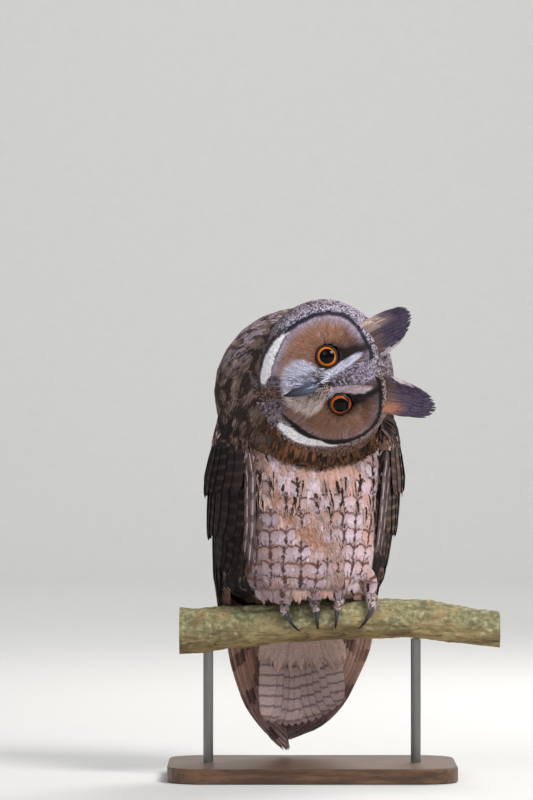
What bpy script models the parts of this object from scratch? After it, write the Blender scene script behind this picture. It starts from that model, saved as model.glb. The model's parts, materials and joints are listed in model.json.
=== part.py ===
"""A long-eared owl on a cut length of branch, its head rolled over to its left, held by a plain stand.

Metres, +Z up. The owl looks along -Y. The origin is the centre of the stand's underside.
"""

import math
import random

import bmesh
import bpy
import numpy as np
from mathutils import Matrix, Vector

# What touching pieces keep between them, and the seed of every random draw.
GAP = 0.0003
SEED = 7

# The stand: a slab and two rods up to the branch.
BASE_LENGTH = 0.230
BASE_DEPTH = 0.160
BASE_HEIGHT = 0.012
BASE_CORNER = 0.030
BASE_EDGE = 0.0015
CORNER_STEPS = 6
ROD_RADIUS = 0.004
ROD_SIDES = 16
ROD_PLACES = {"stand_rod_left": -0.083, "stand_rod_right": 0.083}

# The branch, as rows of place along X, centre height and radius.
BRANCH_ROWS = (
    (-0.106, 0.1165, 0.0185),
    (-0.080, 0.1185, 0.0175),
    (-0.042, 0.1215, 0.0162),
    (0.014, 0.1260, 0.0163),
    (0.070, 0.1268, 0.0158),
    (0.110, 0.1235, 0.0150),
    (0.150, 0.1180, 0.0145),
)
BRANCH_RINGS = 11
BRANCH_SIDES = 14

# The body stands over the branch, turned a little to its left.
BODY_PLACE = (-0.007, 0.0, 0.0)
BODY_TURN = math.radians(14.0)

# The torso in the body's frame, as rows of height, centre X, centre Y, half width and half depth.
TORSO_ROWS = (
    (0.1380, 0.005, 0.0400, 0.044, 0.0120),
    (0.1420, 0.005, 0.0260, 0.050, 0.0280),
    (0.1460, 0.005, 0.0150, 0.055, 0.0440),
    (0.1580, 0.004, 0.0100, 0.0610, 0.0490),
    (0.1800, 0.003, 0.0080, 0.0650, 0.0510),
    (0.2100, 0.002, 0.0070, 0.0690, 0.0520),
    (0.2400, 0.002, 0.0070, 0.0705, 0.0500),
    (0.2650, 0.002, 0.0090, 0.0680, 0.0460),
    (0.2850, 0.001, 0.0120, 0.0620, 0.0410),
    (0.3050, 0.000, 0.0150, 0.0500, 0.0340),
    (0.3200, 0.000, 0.0170, 0.0340, 0.0240),
    (0.3280, 0.000, 0.0180, 0.0160, 0.0120),
)
TORSO_SIDES = 26
TORSO_RINGS = 15
TORSO_SQUARENESS = 2.15

# The surface that the folded wing lies on, in the body's frame, with the same columns.
WING_ROWS = (
    (0.0120, 0.000, 0.0610, 0.010, 0.0060),
    (0.0350, 0.000, 0.0570, 0.024, 0.0100),
    (0.0600, 0.000, 0.0520, 0.036, 0.0150),
    (0.1000, 0.000, 0.0420, 0.049, 0.0240),
    (0.1300, 0.000, 0.0320, 0.058, 0.0340),
    (0.1600, 0.001, 0.0160, 0.067, 0.0500),
    (0.2000, 0.002, 0.0100, 0.073, 0.0600),
    (0.2400, 0.004, 0.0100, 0.078, 0.0580),
    (0.2700, 0.005, 0.0090, 0.077, 0.0550),
    (0.3000, 0.005, 0.0090, 0.069, 0.0500),
)

# Where the folded wing's front and back edges run, as rows of height and turn in degrees.
WING_EDGE_ROWS = (
    (0.020, 70.0, 95.0),
    (0.060, 20.0, 95.0),
    (0.100, 0.0, 88.0),
    (0.130, 0.0, 84.0),
    (0.143, -14.0, 82.0),
    (0.160, -38.0, 80.0),
    (0.200, -42.0, 75.0),
    (0.240, -44.0, 68.0),
    (0.280, -38.0, 55.0),
    (0.298, -20.0, 40.0),
)

# The wing's flesh is a patch of that surface that ends where the long feathers run free.
WING_CORE = (0.162, 0.294, 8, 6, -0.0085, 0.0)

# Its coverts and inner flight feathers in tiers, as rows of count, root height, tip height, places of
# the first and last across the wing, half width, root lift and tip lift.
WING_TIERS = (
    (5, 0.206, 0.130, 0.38, 0.95, 0.0116, -0.0016, 0.0026),
    (3, 0.228, 0.170, 0.05, 0.24, 0.0076, -0.0016, 0.0016),
    (6, 0.248, 0.198, 0.08, 0.94, 0.0112, -0.0014, 0.0028),
    (5, 0.270, 0.234, 0.10, 0.90, 0.0122, -0.0014, 0.0030),
    (4, 0.290, 0.260, 0.13, 0.87, 0.0128, -0.0014, 0.0032),
)
WING_STATIONS = (0.0, 0.4, 0.78, 0.94, 1.0)
WING_TILT = 0.13
WING_STACK = 0.00035
WING_TURN_STEP = 0.02
WING_SHARE_STEP = 0.05
WING_VARIES = (0.0015, 0.05)

# The long outer flight feathers lie stacked, one behind the other, along one path in the body's frame:
# rows of height, distance from the mid-plane, Y, turn of their faces in degrees and spacing.
PRIMARY_PATH = (
    (0.018, 0.0060, 0.0650, 76.0, 0.0018),
    (0.035, 0.0115, 0.0630, 72.0, 0.0026),
    (0.060, 0.0190, 0.0590, 66.0, 0.0042),
    (0.090, 0.0300, 0.0540, 58.0, 0.0051),
    (0.120, 0.0390, 0.0480, 44.0, 0.0061),
    (0.150, 0.0555, 0.0370, 25.0, 0.0068),
    (0.190, 0.0625, 0.0300, 15.0, 0.0072),
)
PRIMARIES = 6
PRIMARY_WIDTH = 0.0090
PRIMARY_STEP = 0.00095
PRIMARY_TIPS = (0.017, 0.0032, 1.3)
PRIMARY_VARIES = (0.001, 0.03)
PRIMARY_END_STATIONS = (0.90, 0.965, 1.0)
PRIMARY_BEND_ROOM = 0.02
LEFT_TIP_RISE = 0.008
LEFT_SPREAD = 0.014
LEFT_SPREAD_TOP = 0.150
LEFT_SPREAD_OVER = 0.045
LEFT_SPREAD_ENDS = (0.015, 0.050)

# The collar of neck feathers is one ellipsoid, its top tipped back.
NECK_CENTRE = (-0.0085, -0.0060, 0.3080)
NECK_RADII = (0.0700, 0.0470, 0.0690)
NECK_TIP = math.radians(-16.0)
NECK_SIDES = 20
NECK_RINGS = 12

# The head: where it is, and how it is rolled, turned and nodded.
HEAD_PLACE = (0.0139, -0.0380, 0.3226)
HEAD_ROLL = math.radians(74.5)
HEAD_TURN = math.radians(9.0)
HEAD_NOD = math.radians(6.0)

# The head's half width, half height over and under its middle, and depth before and behind it.
HEAD_WIDTH = 0.061
HEAD_OVER = 0.051
HEAD_UNDER = 0.058
HEAD_FRONT = 0.044
HEAD_BACK = 0.046
HEAD_SIDES = 32
HEAD_RINGS = 20

# The facial disc is two ovals that meet at the bill.
DISC_CENTRE = (0.0235, 0.0010)
DISC_RADII = (0.0275, 0.0410)
DISC_FRONT = -0.0430
DISC_BEND = (6.6, 8.4)
DISC_HOLLOW = 0.0030
DISC_HOLLOW_SPREAD = 0.0160
DISC_EDGE = (-0.0010, 0.0050)
RIM_HEIGHT = 0.0024
RIM_WIDTH = 0.0030
RIM_FADE = (0.05, 0.25)
BROW_HEIGHT = 0.0038
BROW_WIDTH = 0.0090
BROW_START = (-0.0300, -0.0050)
BROW_END = (0.0200, 0.0450)

# The eyes and the ring of lid round each.
EYE_RADIUS = 0.0110
EYE_PLACE = (0.0182, -0.0308, 0.0050)
EYE_OUTWARD = math.radians(12.0)
EYE_SIDES = 14
EYE_RINGS = 9
LID_RADIUS = 0.0086
LID_THICKNESS = 0.0012
LID_OUT = 0.0006
LID_BACK = 0.0008
LID_DEPTH = 2.2
LID_STEPS = 14
LID_SIDES = 4

# The bill, in the head's frame, as rows of Y, Z, half width and half depth along its middle.
UPPER_BILL_ROWS = (
    (-0.0370, -0.0060, 0.0044, 0.0050),
    (-0.0440, -0.0110, 0.0046, 0.0052),
    (-0.0490, -0.0180, 0.0041, 0.0046),
    (-0.0515, -0.0250, 0.0031, 0.0035),
    (-0.0518, -0.0305, 0.0019, 0.0023),
    (-0.0507, -0.0352, 0.0006, 0.0008),
)
LOWER_BILL_ROWS = (
    (-0.0350, -0.0170, 0.0042, 0.0030),
    (-0.0410, -0.0215, 0.0040, 0.0028),
    (-0.0450, -0.0265, 0.0030, 0.0022),
    (-0.0468, -0.0310, 0.0014, 0.0012),
)
NOSTRIL_PLACE = (0.0037, -0.0462, -0.0120)
NOSTRIL_RADIUS = 0.0011
BILL_SIDES = 10
UPPER_BILL_RINGS = 8
LOWER_BILL_RINGS = 5

# The ear tufts, in the head's frame: X and Z of the outermost and innermost vane's root, and of their
# tips, how far the tips between those rise past a straight line, and Y of roots and tips.
TUFT_ROOTS = ((0.0318, 0.0310), (0.0085, 0.0405))
TUFT_TIPS = ((0.0410, 0.0625), (0.0125, 0.0575))
LEFT_TUFT_LEAN = 0.0070
TUFT_PEAK = (0.0050, 0.0155)
TUFT_DEPTHS = (-0.0160, -0.0255)
TUFT_FEATHERS = 6
TUFT_WIDTH = 0.0062
TUFT_STEP = 0.0011
TUFT_VARIES = 0.03
TUFT_CORE = (0.0150, 0.0034, 0.0066)
TUFT_CORE_PLACE = (0.0228, -0.0180, 0.0415)
TUFT_STATIONS = (0.0, 0.45, 0.75, 0.93, 1.0)

# The feet. Each toe is the place of its end beside the foot's middle, and its talon's lean along X.
FOOT_PLACES = {"right": -0.0104, "left": 0.0348}
FRONT_TOES = {
    "right": ((-0.0136, 0.0150), (0.0136, 0.0016)),
    "left": ((-0.0148, -0.0016), (0.0148, -0.0128)),
}
BACK_TOES = ((-0.0085, 0.0010), (0.0085, -0.0010))
FRONT_WRAP = math.radians(48.0)
BACK_WRAP = math.radians(-58.0)
TALON_WRAP = math.radians(70.0)
TALON_START = math.radians(3.2)
TOE_RADIUS = 0.0046
TOE_OFF = 0.0056
TALON_TIP_OFF = 0.0009
FOOT_ROOM = (0.0280, 0.0290, 0.0108)
TOE_SHAPE = (1.15, 1.12, 1.02, 0.98, 0.95, 0.62)
TOE_START = 0.35
TOE_SPREAD_BY = 0.8
TOE_SIDES = 7
TALON_RADIUS = 0.0027
TALON_POINTS = 6
TALON_SIDES = 5
TALON_BULGE = 0.0014
TALON_POINT = 0.0003
TALON_TAPER = 0.7
TALON_LEAN_BEND = 1.5
PALM_RADII = (0.0135, 0.0100, 0.0052)
LEG_TOP = 0.185
LEG_RADII = (0.0085, 0.0105, 0.0130)
LEG_BEND = (0.0, 0.002, 0.010)
LEG_TOP_Y = 0.006

# The tail in the body's frame: where it starts and ends, its vanes and the coverts under it.
TAIL_ROOT = (0.0045, 0.0420, 0.140)
TAIL_TIP = (0.0120, 0.0519, 0.0358)
TAIL_FEATHERS = 12
TAIL_ROOT_SPACING = 0.0040
TAIL_TIP_SPACING = 0.0058
TAIL_WIDTH = 0.0072
TAIL_STEP = 0.00095
TAIL_ROUNDING = 0.010
TAIL_LEAN = 0.006
TAIL_CORE = (0.0200, 0.0062, 0.0120)
TAIL_CORE_BACK = 0.0010
TAIL_CORE_DOWN = 0.05
TAIL_VARIES = (0.012, 0.04)
UNDERTAIL_FEATHERS = 5
UNDERTAIL_SPACING = (0.0070, 0.0135)
UNDERTAIL_WIDTH = 0.0092
UNDERTAIL_TIP = 0.086
UNDERTAIL_DEPTH = (0.0072, 0.0085)
UNDERTAIL_ROUNDING = 0.05
UNDERTAIL_VARIES = 0.03

# The share of a feather's half width at places along it.
VANE_OUTLINE = ((0.0, 0.50), (0.3, 0.90), (0.62, 1.0), (0.84, 0.88), (0.95, 0.56), (1.0, 0.18))
VANE_THICKNESS = 0.0006
VANE_TIP_THICKNESS = 0.6

COLOURS = {
    "feather_brown": ((0.16, 0.11, 0.07), 0.85),
    "feather_buff": ((0.55, 0.42, 0.32), 0.85),
    "feather_dark": ((0.07, 0.05, 0.045), 0.85),
    "feather_face": ((0.36, 0.19, 0.10), 0.85),
    "horn": ((0.03, 0.03, 0.035), 0.35),
    "eye": ((0.75, 0.28, 0.02), 0.08),
    "bark": ((0.24, 0.25, 0.11), 0.95),
    "stand_wood": ((0.12, 0.10, 0.09), 0.5),
    "stand_steel": ((0.35, 0.35, 0.36), 0.35),
}


def smooth_row(rows, place):
    """The columns of a table at a place between its rows, on curves that never overshoot a row."""
    table = np.array(rows, float)
    x, y = table[:, 0], table[:, 1:]
    place = min(max(place, x[0]), x[-1])
    i = min(int(np.searchsorted(x, place, side="right")) - 1, len(x) - 2)
    slopes = np.diff(y, axis=0) / np.diff(x)[:, None]
    bend = np.zeros_like(y)
    bend[0], bend[-1] = slopes[0], slopes[-1]
    before, after = slopes[:-1], slopes[1:]
    same = before * after > 0
    bend[1:-1][same] = (2 * before * after / np.where(same, before + after, 1.0))[same]
    h = x[i + 1] - x[i]
    t = (place - x[i]) / h
    return (
        y[i] * (1 + 2 * t) * (1 - t) ** 2
        + y[i + 1] * t * t * (3 - 2 * t)
        + h * bend[i] * t * (1 - t) ** 2
        - h * bend[i + 1] * t * t * (1 - t)
    )


def clear_scene():
    for item in list(bpy.data.objects):
        bpy.data.objects.remove(item)


def new_collection(name):
    made = bpy.data.collections.new(name)
    bpy.context.scene.collection.children.link(made)
    return made


def new_material(name):
    colour, roughness = COLOURS[name]
    made = bpy.data.materials.new(name)
    made.use_nodes = True
    shader = made.node_tree.nodes["Principled BSDF"]
    shader.inputs["Base Color"].default_value = (*colour, 1.0)
    shader.inputs["Roughness"].default_value = roughness
    shader.inputs["Metallic"].default_value = 1.0 if name == "stand_steel" else 0.0
    return made


def frame_empty(name, place, matrix):
    """An empty that carries the pieces of one part of the bird."""
    empty = bpy.data.objects.new(name, None)
    bpy.context.scene.collection.objects.link(empty)
    empty.matrix_world = Matrix.Translation(place) @ matrix.to_4x4()
    return empty


def new_object(name, mesh_build, frame=None, slot=None, collection=None):
    """An object from a bmesh, with its faces turned outward, carried by a frame."""
    bmesh.ops.recalc_face_normals(mesh_build, faces=mesh_build.faces)
    mesh = bpy.data.meshes.new(name)
    mesh_build.to_mesh(mesh)
    mesh_build.free()
    mesh.shade_smooth()
    mesh.set_sharp_from_angle(angle=math.radians(40.0))
    made = bpy.data.objects.new(name, mesh)
    (collection or PARTS).objects.link(made)
    made.parent = frame
    if slot:
        mesh.materials.append(MATERIALS[slot])
    return made


def loft(rings):
    """A closed body through rings of equal point count, its ends closed to their middles."""
    build = bmesh.new()
    loops = [[build.verts.new(point) for point in ring] for ring in rings]
    count = len(loops[0])
    for low, high in zip(loops, loops[1:]):
        for k in range(count):
            build.faces.new((low[k], low[(k + 1) % count], high[(k + 1) % count], high[k]))
    for loop in (loops[0], loops[-1]):
        middle = build.verts.new(sum((v.co for v in loop), Vector()) / count)
        for k in range(count):
            build.faces.new((loop[k], loop[(k + 1) % count], middle))
    bmesh.ops.triangulate(build, faces=build.faces)
    return build


def rounded_ring(z, cx, cy, rx, ry, sides, squareness):
    """A level ring, an oval a little squarer than an ellipse."""
    points = []
    for k in range(sides):
        turn = 2 * math.pi * k / sides
        c, s = math.cos(turn), math.sin(turn)
        x = math.copysign(abs(c) ** (2 / squareness), c)
        y = math.copysign(abs(s) ** (2 / squareness), s)
        points.append(Vector((cx + rx * x, cy + ry * y, z)))
    return points


def tube(path, radii, sides):
    """A closed tube of round section along points, with a radius, or a pair of them, for each."""
    rings = []
    side = None
    for i, point in enumerate(path):
        ahead = path[min(i + 1, len(path) - 1)] - path[max(i - 1, 0)]
        ahead.normalize()
        if side is None:
            side = ahead.orthogonal().normalized()
        side = (side - ahead * side.dot(ahead)).normalized()
        across = ahead.cross(side)
        r = radii[i]
        ring = []
        for k in range(sides):
            turn = 2 * math.pi * k / sides
            ring.append(point + side * (r * math.cos(turn)) + across * (r * math.sin(turn)))
        rings.append(ring)
    return loft(rings)


def outline_share(t):
    return smooth_row(VANE_OUTLINE, t)[0]


def vane(centre, side_of, width, stations=None):
    """A feather's blade: centre(t) is its middle line and side_of(t) its side and face directions."""
    build = bmesh.new()
    rings = []
    for t in stations or [row[0] for row in VANE_OUTLINE]:
        share = outline_share(t)
        middle = centre(t)
        side, face = side_of(t)
        half = 0.5 * VANE_THICKNESS * (1.0 if t < 1.0 else VANE_TIP_THICKNESS)
        across, up = side * (width * share), face * half
        corners = (middle - across + up, middle + across + up, middle + across - up, middle - across - up)
        rings.append([build.verts.new(corner) for corner in corners])
    for low, high in zip(rings, rings[1:]):
        for k in range(4):
            a, b, c, d = low[k], low[(k + 1) % 4], high[(k + 1) % 4], high[k]
            # The two faces of the blade are split alike, so that they can't cross.
            halves = ((a, b, c), (a, c, d)) if k == 0 else ((b, c, d), (a, b, d))
            for half in halves:
                build.faces.new(half)
    for ring in (rings[0], rings[-1]):
        build.faces.new((ring[0], ring[1], ring[3]))
        build.faces.new((ring[1], ring[2], ring[3]))
    return build


def ellipsoid(name, centre, radii, sides, rings, frame=None):
    build = bmesh.new()
    bmesh.ops.create_uvsphere(build, u_segments=sides, v_segments=rings, radius=1.0)
    place = Matrix.Translation(centre) @ Matrix.Diagonal((*radii, 1.0))
    bmesh.ops.transform(build, matrix=place, verts=build.verts)
    return new_object(name, build, frame)


def evaluated_mesh(item):
    bpy.context.view_layer.update()
    graph = bpy.context.evaluated_depsgraph_get()
    return bpy.data.meshes.new_from_object(item.evaluated_get(graph))


def apply_modifiers(item):
    mesh = evaluated_mesh(item)
    item.modifiers.clear()
    item.data = mesh


def keep_largest(item):
    """Keeps an object's largest closed surface, without sealed hollows or scraps."""
    build = bmesh.new()
    build.from_mesh(item.data)
    bmesh.ops.dissolve_degenerate(build, dist=1e-7, edges=build.edges)
    bmesh.ops.triangulate(build, faces=build.faces)
    left = set(build.faces)
    islands = []
    while left:
        start = left.pop()
        island, edge = [start], [start]
        while edge:
            face = edge.pop()
            for rim in face.edges:
                for other in rim.link_faces:
                    if other in left:
                        left.remove(other)
                        island.append(other)
                        edge.append(other)
        size = sum(
            f.verts[0].co.dot(f.verts[1].co.cross(f.verts[2].co)) / 6 for f in island
        )
        islands.append((size, island))
    islands.sort(key=lambda pair: pair[0])
    scraps = [face for _, island in islands[:-1] for face in island]
    if scraps:
        bmesh.ops.delete(build, geom=scraps, context="FACES")
    build.to_mesh(item.data)
    build.free()


def fuse(name, pieces, frame, slot):
    """One node from closed pieces that overlap, by one union."""
    trunk, rest = pieces[0], pieces[1:]
    joined = new_collection(name + "_pieces")
    for piece in rest:
        for owner in list(piece.users_collection):
            owner.objects.unlink(piece)
        joined.objects.link(piece)
    union = trunk.modifiers.new("union", "BOOLEAN")
    union.operation = "UNION"
    union.operand_type = "COLLECTION"
    union.collection = joined
    union.solver = "MANIFOLD"
    apply_modifiers(trunk)
    for piece in rest:
        bpy.data.objects.remove(piece)
    bpy.data.collections.remove(joined)
    trunk.name = name
    trunk.data.materials.clear()
    trunk.data.materials.append(MATERIALS[slot])
    trunk.parent = frame
    keep_largest(trunk)
    return trunk


def grown_copy(item, by=GAP):
    """A cutter of the same shape, larger by the gap all over."""
    bpy.context.view_layer.update()
    build = bmesh.new()
    build.from_mesh(item.data)
    build.transform(item.matrix_world)
    build.normal_update()
    for vertex in build.verts:
        vertex.co += vertex.normal * by
    cutter = new_object(item.name + "_cutter", build, collection=CUTTERS)
    cutter.hide_render = True
    cutter.display_type = "WIRE"
    return cutter


def carve(item, cutters):
    """Cuts the item back to the gap from each cutter."""
    for cutter in cutters:
        cut = item.modifiers.new("clear_of_" + cutter.name, "BOOLEAN")
        cut.operation = "DIFFERENCE"
        cut.object = cutter
        cut.solver = "MANIFOLD"
    apply_modifiers(item)
    keep_largest(item)


def build_stand():
    """The slab with rounded corners and the two rods."""
    outline = bpy.data.curves.new("stand_base_outline", "CURVE")
    outline.dimensions = "2D"
    outline.fill_mode = "BOTH"
    outline.extrude = BASE_HEIGHT / 2
    spline = outline.splines.new("POLY")
    points = []
    for quarter in range(4):
        sx, sy = ((1, 1), (-1, 1), (-1, -1), (1, -1))[quarter]
        for step in range(CORNER_STEPS + 1):
            turn = 0.5 * math.pi * (quarter + step / CORNER_STEPS)
            x = sx * (BASE_LENGTH / 2 - BASE_CORNER) + BASE_CORNER * math.cos(turn)
            y = sy * (BASE_DEPTH / 2 - BASE_CORNER) + BASE_CORNER * math.sin(turn)
            points.append((x, y, 0.0, 1.0))
    spline.points.add(len(points) - 1)
    for point, co in zip(spline.points, points):
        point.co = co
    spline.use_cyclic_u = True
    base = bpy.data.objects.new("stand_base", outline)
    PARTS.objects.link(base)
    base.location = (0.0, 0.0, BASE_HEIGHT / 2)
    mesh = evaluated_mesh(base)
    build = bmesh.new()
    build.from_mesh(mesh)
    build.transform(base.matrix_world)
    bmesh.ops.remove_doubles(build, verts=build.verts, dist=1e-6)
    bpy.data.objects.remove(base)
    slab = new_object("stand_base", build, slot="stand_wood")
    soften = slab.modifiers.new("edge", "BEVEL")
    soften.width = BASE_EDGE
    soften.segments = 1
    soften.limit_method = "ANGLE"
    rods = []
    for name, x in ROD_PLACES.items():
        top = branch_at(x)[0]
        low = BASE_HEIGHT + GAP
        build = bmesh.new()
        bmesh.ops.create_cone(
            build,
            cap_ends=True,
            segments=ROD_SIDES,
            radius1=ROD_RADIUS,
            radius2=ROD_RADIUS,
            depth=top - low,
        )
        rod = new_object(name, build, slot="stand_steel")
        rod.location = (x, 0.0, (top + low) / 2)
        rods.append(rod)
    return rods


def branch_at(x):
    """The branch's centre height and radius at a place along it."""
    return smooth_row(BRANCH_ROWS, x)


def build_branch():
    """The cut length of branch, bent a little."""
    first, last = BRANCH_ROWS[0][0], BRANCH_ROWS[-1][0]
    path, radii = [], []
    for k in range(BRANCH_RINGS):
        x = first + (last - first) * k / (BRANCH_RINGS - 1)
        z, r = branch_at(x)
        path.append(Vector((x, 0.0, z)))
        radii.append(r)
    return new_object("branch", tube(path, radii, BRANCH_SIDES), slot="bark")


def build_torso():
    low, high = TORSO_ROWS[0][0], TORSO_ROWS[-1][0]
    rings = []
    for k in range(TORSO_RINGS):
        z = low + (high - low) * k / (TORSO_RINGS - 1)
        cx, cy, rx, ry = smooth_row(TORSO_ROWS, z)
        rings.append(rounded_ring(z, cx, cy, rx, ry, TORSO_SIDES, TORSO_SQUARENESS))
    return new_object("torso", loft(rings), BODY, "feather_buff")


def build_neck():
    build = bmesh.new()
    bmesh.ops.create_uvsphere(build, u_segments=NECK_SIDES, v_segments=NECK_RINGS, radius=1.0)
    place = Matrix.Translation(NECK_CENTRE) @ Matrix.Rotation(NECK_TIP, 4, "X")
    bmesh.ops.transform(build, matrix=place @ Matrix.Diagonal((*NECK_RADII, 1.0)), verts=build.verts)
    bmesh.ops.triangulate(build, faces=build.faces)
    return new_object("neck", build, slot="feather_brown")


def disc_depth(x, z):
    """How far a point of the face is inside the facial disc's outline, in metres; negative outside."""
    across = (abs(x) - DISC_CENTRE[0]) / DISC_RADII[0]
    up = (z - DISC_CENTRE[1]) / DISC_RADII[1]
    return (1.0 - math.hypot(across, up)) * DISC_RADII[0]


def smooth_step(value, low, high):
    t = min(max((value - low) / (high - low), 0.0), 1.0)
    return t * t * (3 - 2 * t)


def face_front(x, z):
    """Y of the face at a point of the head's frame: the round of the head, with the disc let into it."""
    height = HEAD_OVER if z > 0 else HEAD_UNDER
    room = max(0.0, 1.0 - (x / HEAD_WIDTH) ** 2 - (z / height) ** 2)
    head = -HEAD_FRONT * math.sqrt(room)
    eye = math.hypot(abs(x) - EYE_PLACE[0], z - EYE_PLACE[2])
    dish = DISC_FRONT + DISC_BEND[0] * x * x + DISC_BEND[1] * z * z
    dish += DISC_HOLLOW * math.exp(-((eye / DISC_HOLLOW_SPREAD) ** 2))
    depth = disc_depth(x, z)
    inside = smooth_step(depth, *DISC_EDGE)
    rim = RIM_HEIGHT * math.exp(-((depth / RIM_WIDTH) ** 2)) * smooth_step(room, *RIM_FADE)
    brow = BROW_HEIGHT * math.exp(-((x / BROW_WIDTH) ** 2)) * smooth_step(z, *BROW_START)
    brow *= 1.0 - smooth_step(z, *BROW_END)
    return head * (1 - inside) + dish * inside - rim - brow


def build_head():
    """A sphere whose pole looks forward, each point moved onto the head."""
    build = bmesh.new()
    bmesh.ops.create_uvsphere(build, u_segments=HEAD_SIDES, v_segments=HEAD_RINGS, radius=1.0)
    bmesh.ops.rotate(build, matrix=Matrix.Rotation(math.radians(90.0), 3, "X"), verts=build.verts)
    for vertex in build.verts:
        x, y, z = vertex.co
        wide = HEAD_WIDTH * x
        high = (HEAD_OVER if z > 0 else HEAD_UNDER) * z
        deep = face_front(wide, high) if y < 1e-6 else HEAD_BACK * y
        vertex.co = (wide, deep, high)
    bmesh.ops.triangulate(build, faces=build.faces)
    head = new_object("head", build, HEAD, "feather_face")
    lids = []
    for sign in (-1, 1):
        place, turn = eye_frame(sign)
        lids.append(build_lid(place, turn))
    return fuse("head", [head, *lids], HEAD, "feather_face")


def eye_frame(sign):
    """An eye's centre and its turn outward, in the head's frame; sign 1 is the bird's left."""
    x, y, z = EYE_PLACE
    return Vector((sign * x, y, z)), Matrix.Rotation(sign * EYE_OUTWARD, 3, "Z")


def build_lid(place, turn):
    """A ring of lid round an eye, lying on the eyeball."""
    forward = math.sqrt(EYE_RADIUS**2 - LID_RADIUS**2)
    build = bmesh.new()
    loops = []
    for k in range(LID_STEPS):
        around = 2 * math.pi * k / LID_STEPS
        outward = Vector((math.cos(around), 0.0, math.sin(around)))
        middle = outward * (LID_RADIUS + LID_OUT) + Vector((0.0, LID_BACK - forward, 0.0))
        ring = []
        for j in range(LID_SIDES):
            a = 2 * math.pi * j / LID_SIDES
            point = middle + outward * (LID_THICKNESS * math.cos(a))
            point += Vector((0.0, LID_DEPTH * LID_THICKNESS * math.sin(a), 0.0))
            ring.append(build.verts.new(place + turn @ point))
        loops.append(ring)
    for k in range(LID_STEPS):
        a, b = loops[k], loops[(k + 1) % LID_STEPS]
        for j in range(LID_SIDES):
            build.faces.new((a[j], a[(j + 1) % LID_SIDES], b[(j + 1) % LID_SIDES], b[j]))
    bmesh.ops.triangulate(build, faces=build.faces)
    return new_object("lid", build, HEAD)


def build_eye(name, sign):
    build = bmesh.new()
    bmesh.ops.create_uvsphere(build, u_segments=EYE_SIDES, v_segments=EYE_RINGS, radius=EYE_RADIUS)
    eye = new_object(name, build, HEAD, "eye")
    eye.location = eye_frame(sign)[0]
    return eye


def bill_piece(name, rows, rings, sides):
    """A bill half: flattened round sections along its middle line."""
    loops = []
    keyed = [(k / (len(rows) - 1), *row) for k, row in enumerate(rows)]
    steps = [k / (rings - 1) for k in range(rings)]
    path = [smooth_row(keyed, s) for s in steps]
    for i, (y, z, wide, deep) in enumerate(path):
        after, before = path[min(i + 1, rings - 1)], path[max(i - 1, 0)]
        ahead = Vector((0.0, after[0] - before[0], after[1] - before[1])).normalized()
        up = Vector((1.0, 0.0, 0.0)).cross(ahead)
        ring = []
        for k in range(sides):
            turn = 2 * math.pi * k / sides
            point = Vector((0.0, y, z)) + Vector((1.0, 0.0, 0.0)) * (wide * math.cos(turn))
            ring.append(point + up * (deep * math.sin(turn)))
        loops.append(ring)
    return new_object(name, loft(loops), HEAD, "horn")


def build_bill():
    upper = bill_piece("bill_upper", UPPER_BILL_ROWS, UPPER_BILL_RINGS, BILL_SIDES)
    lower = bill_piece("bill_lower", LOWER_BILL_ROWS, LOWER_BILL_RINGS, BILL_SIDES)
    pits = []
    for sign in (-1, 1):
        build = bmesh.new()
        bmesh.ops.create_uvsphere(build, u_segments=6, v_segments=4, radius=NOSTRIL_RADIUS)
        pit = new_object("nostril_cutter", build, HEAD, collection=CUTTERS)
        pit.location = (sign * NOSTRIL_PLACE[0], *NOSTRIL_PLACE[1:])
        pit.hide_render = True
        pits.append(pit)
    return upper, lower, pits


def tuft_ends(sign, share):
    """Root and tip of an ear tuft's vane; share 0 is the tuft's outer edge and 1 its inner edge."""
    rise = math.sqrt(4 * share * (1 - share))
    outer, inner = (np.array(ends) for ends in zip(TUFT_ROOTS, TUFT_TIPS))
    root, tip = outer[0] + (inner[0] - outer[0]) * share, outer[1] + (inner[1] - outer[1]) * share
    tip = tip + rise * np.array(TUFT_PEAK)
    lean = LEFT_TUFT_LEAN if sign > 0 else 0.0
    return (
        Vector((sign * root[0], TUFT_DEPTHS[0], root[1])),
        Vector((sign * tip[0] + lean, TUFT_DEPTHS[1], tip[1])),
    )


def build_tuft(name, sign):
    """An ear tuft: feathers side by side, each before the last, out of a small root."""
    draw = random.Random(SEED + 20 + sign)
    across = (tuft_ends(sign, 1.0)[0] - tuft_ends(sign, 0.0)[0]).normalized()
    along = sum((tip - root for root, tip in (tuft_ends(sign, q) for q in (0.0, 0.5, 1.0))), Vector())
    along = (along - across * along.dot(across)).normalized()
    face = along.cross(across)
    face = -face if face.y > 0 else face
    core = ellipsoid("tuft_core", Vector(), TUFT_CORE, 10, 6)
    turn = Matrix((across, -face, along) if sign < 0 else (-across, -face, along)).transposed()
    place = Vector((sign * TUFT_CORE_PLACE[0], *TUFT_CORE_PLACE[1:]))
    core.data.transform(Matrix.Translation(place) @ turn.to_4x4())
    core.parent = HEAD
    pieces = [core]
    for k in range(TUFT_FEATHERS):
        share = k / (TUFT_FEATHERS - 1)
        deep = face * (TUFT_STEP * (k - 0.5 * (TUFT_FEATHERS - 1)))
        start, stop = tuft_ends(sign, share)
        stop += (stop - start) * draw.uniform(-TUFT_VARIES, TUFT_VARIES)
        side = (stop - start).cross(face).normalized()
        width = TUFT_WIDTH * draw.uniform(1 - TUFT_VARIES, 1 + TUFT_VARIES)
        blade = vane(lambda t: start.lerp(stop, t) + deep, lambda t: (side, face), width, TUFT_STATIONS)
        pieces.append(new_object("tuft_vane", blade, HEAD))
    return fuse(name, pieces, HEAD, "feather_dark")


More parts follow.
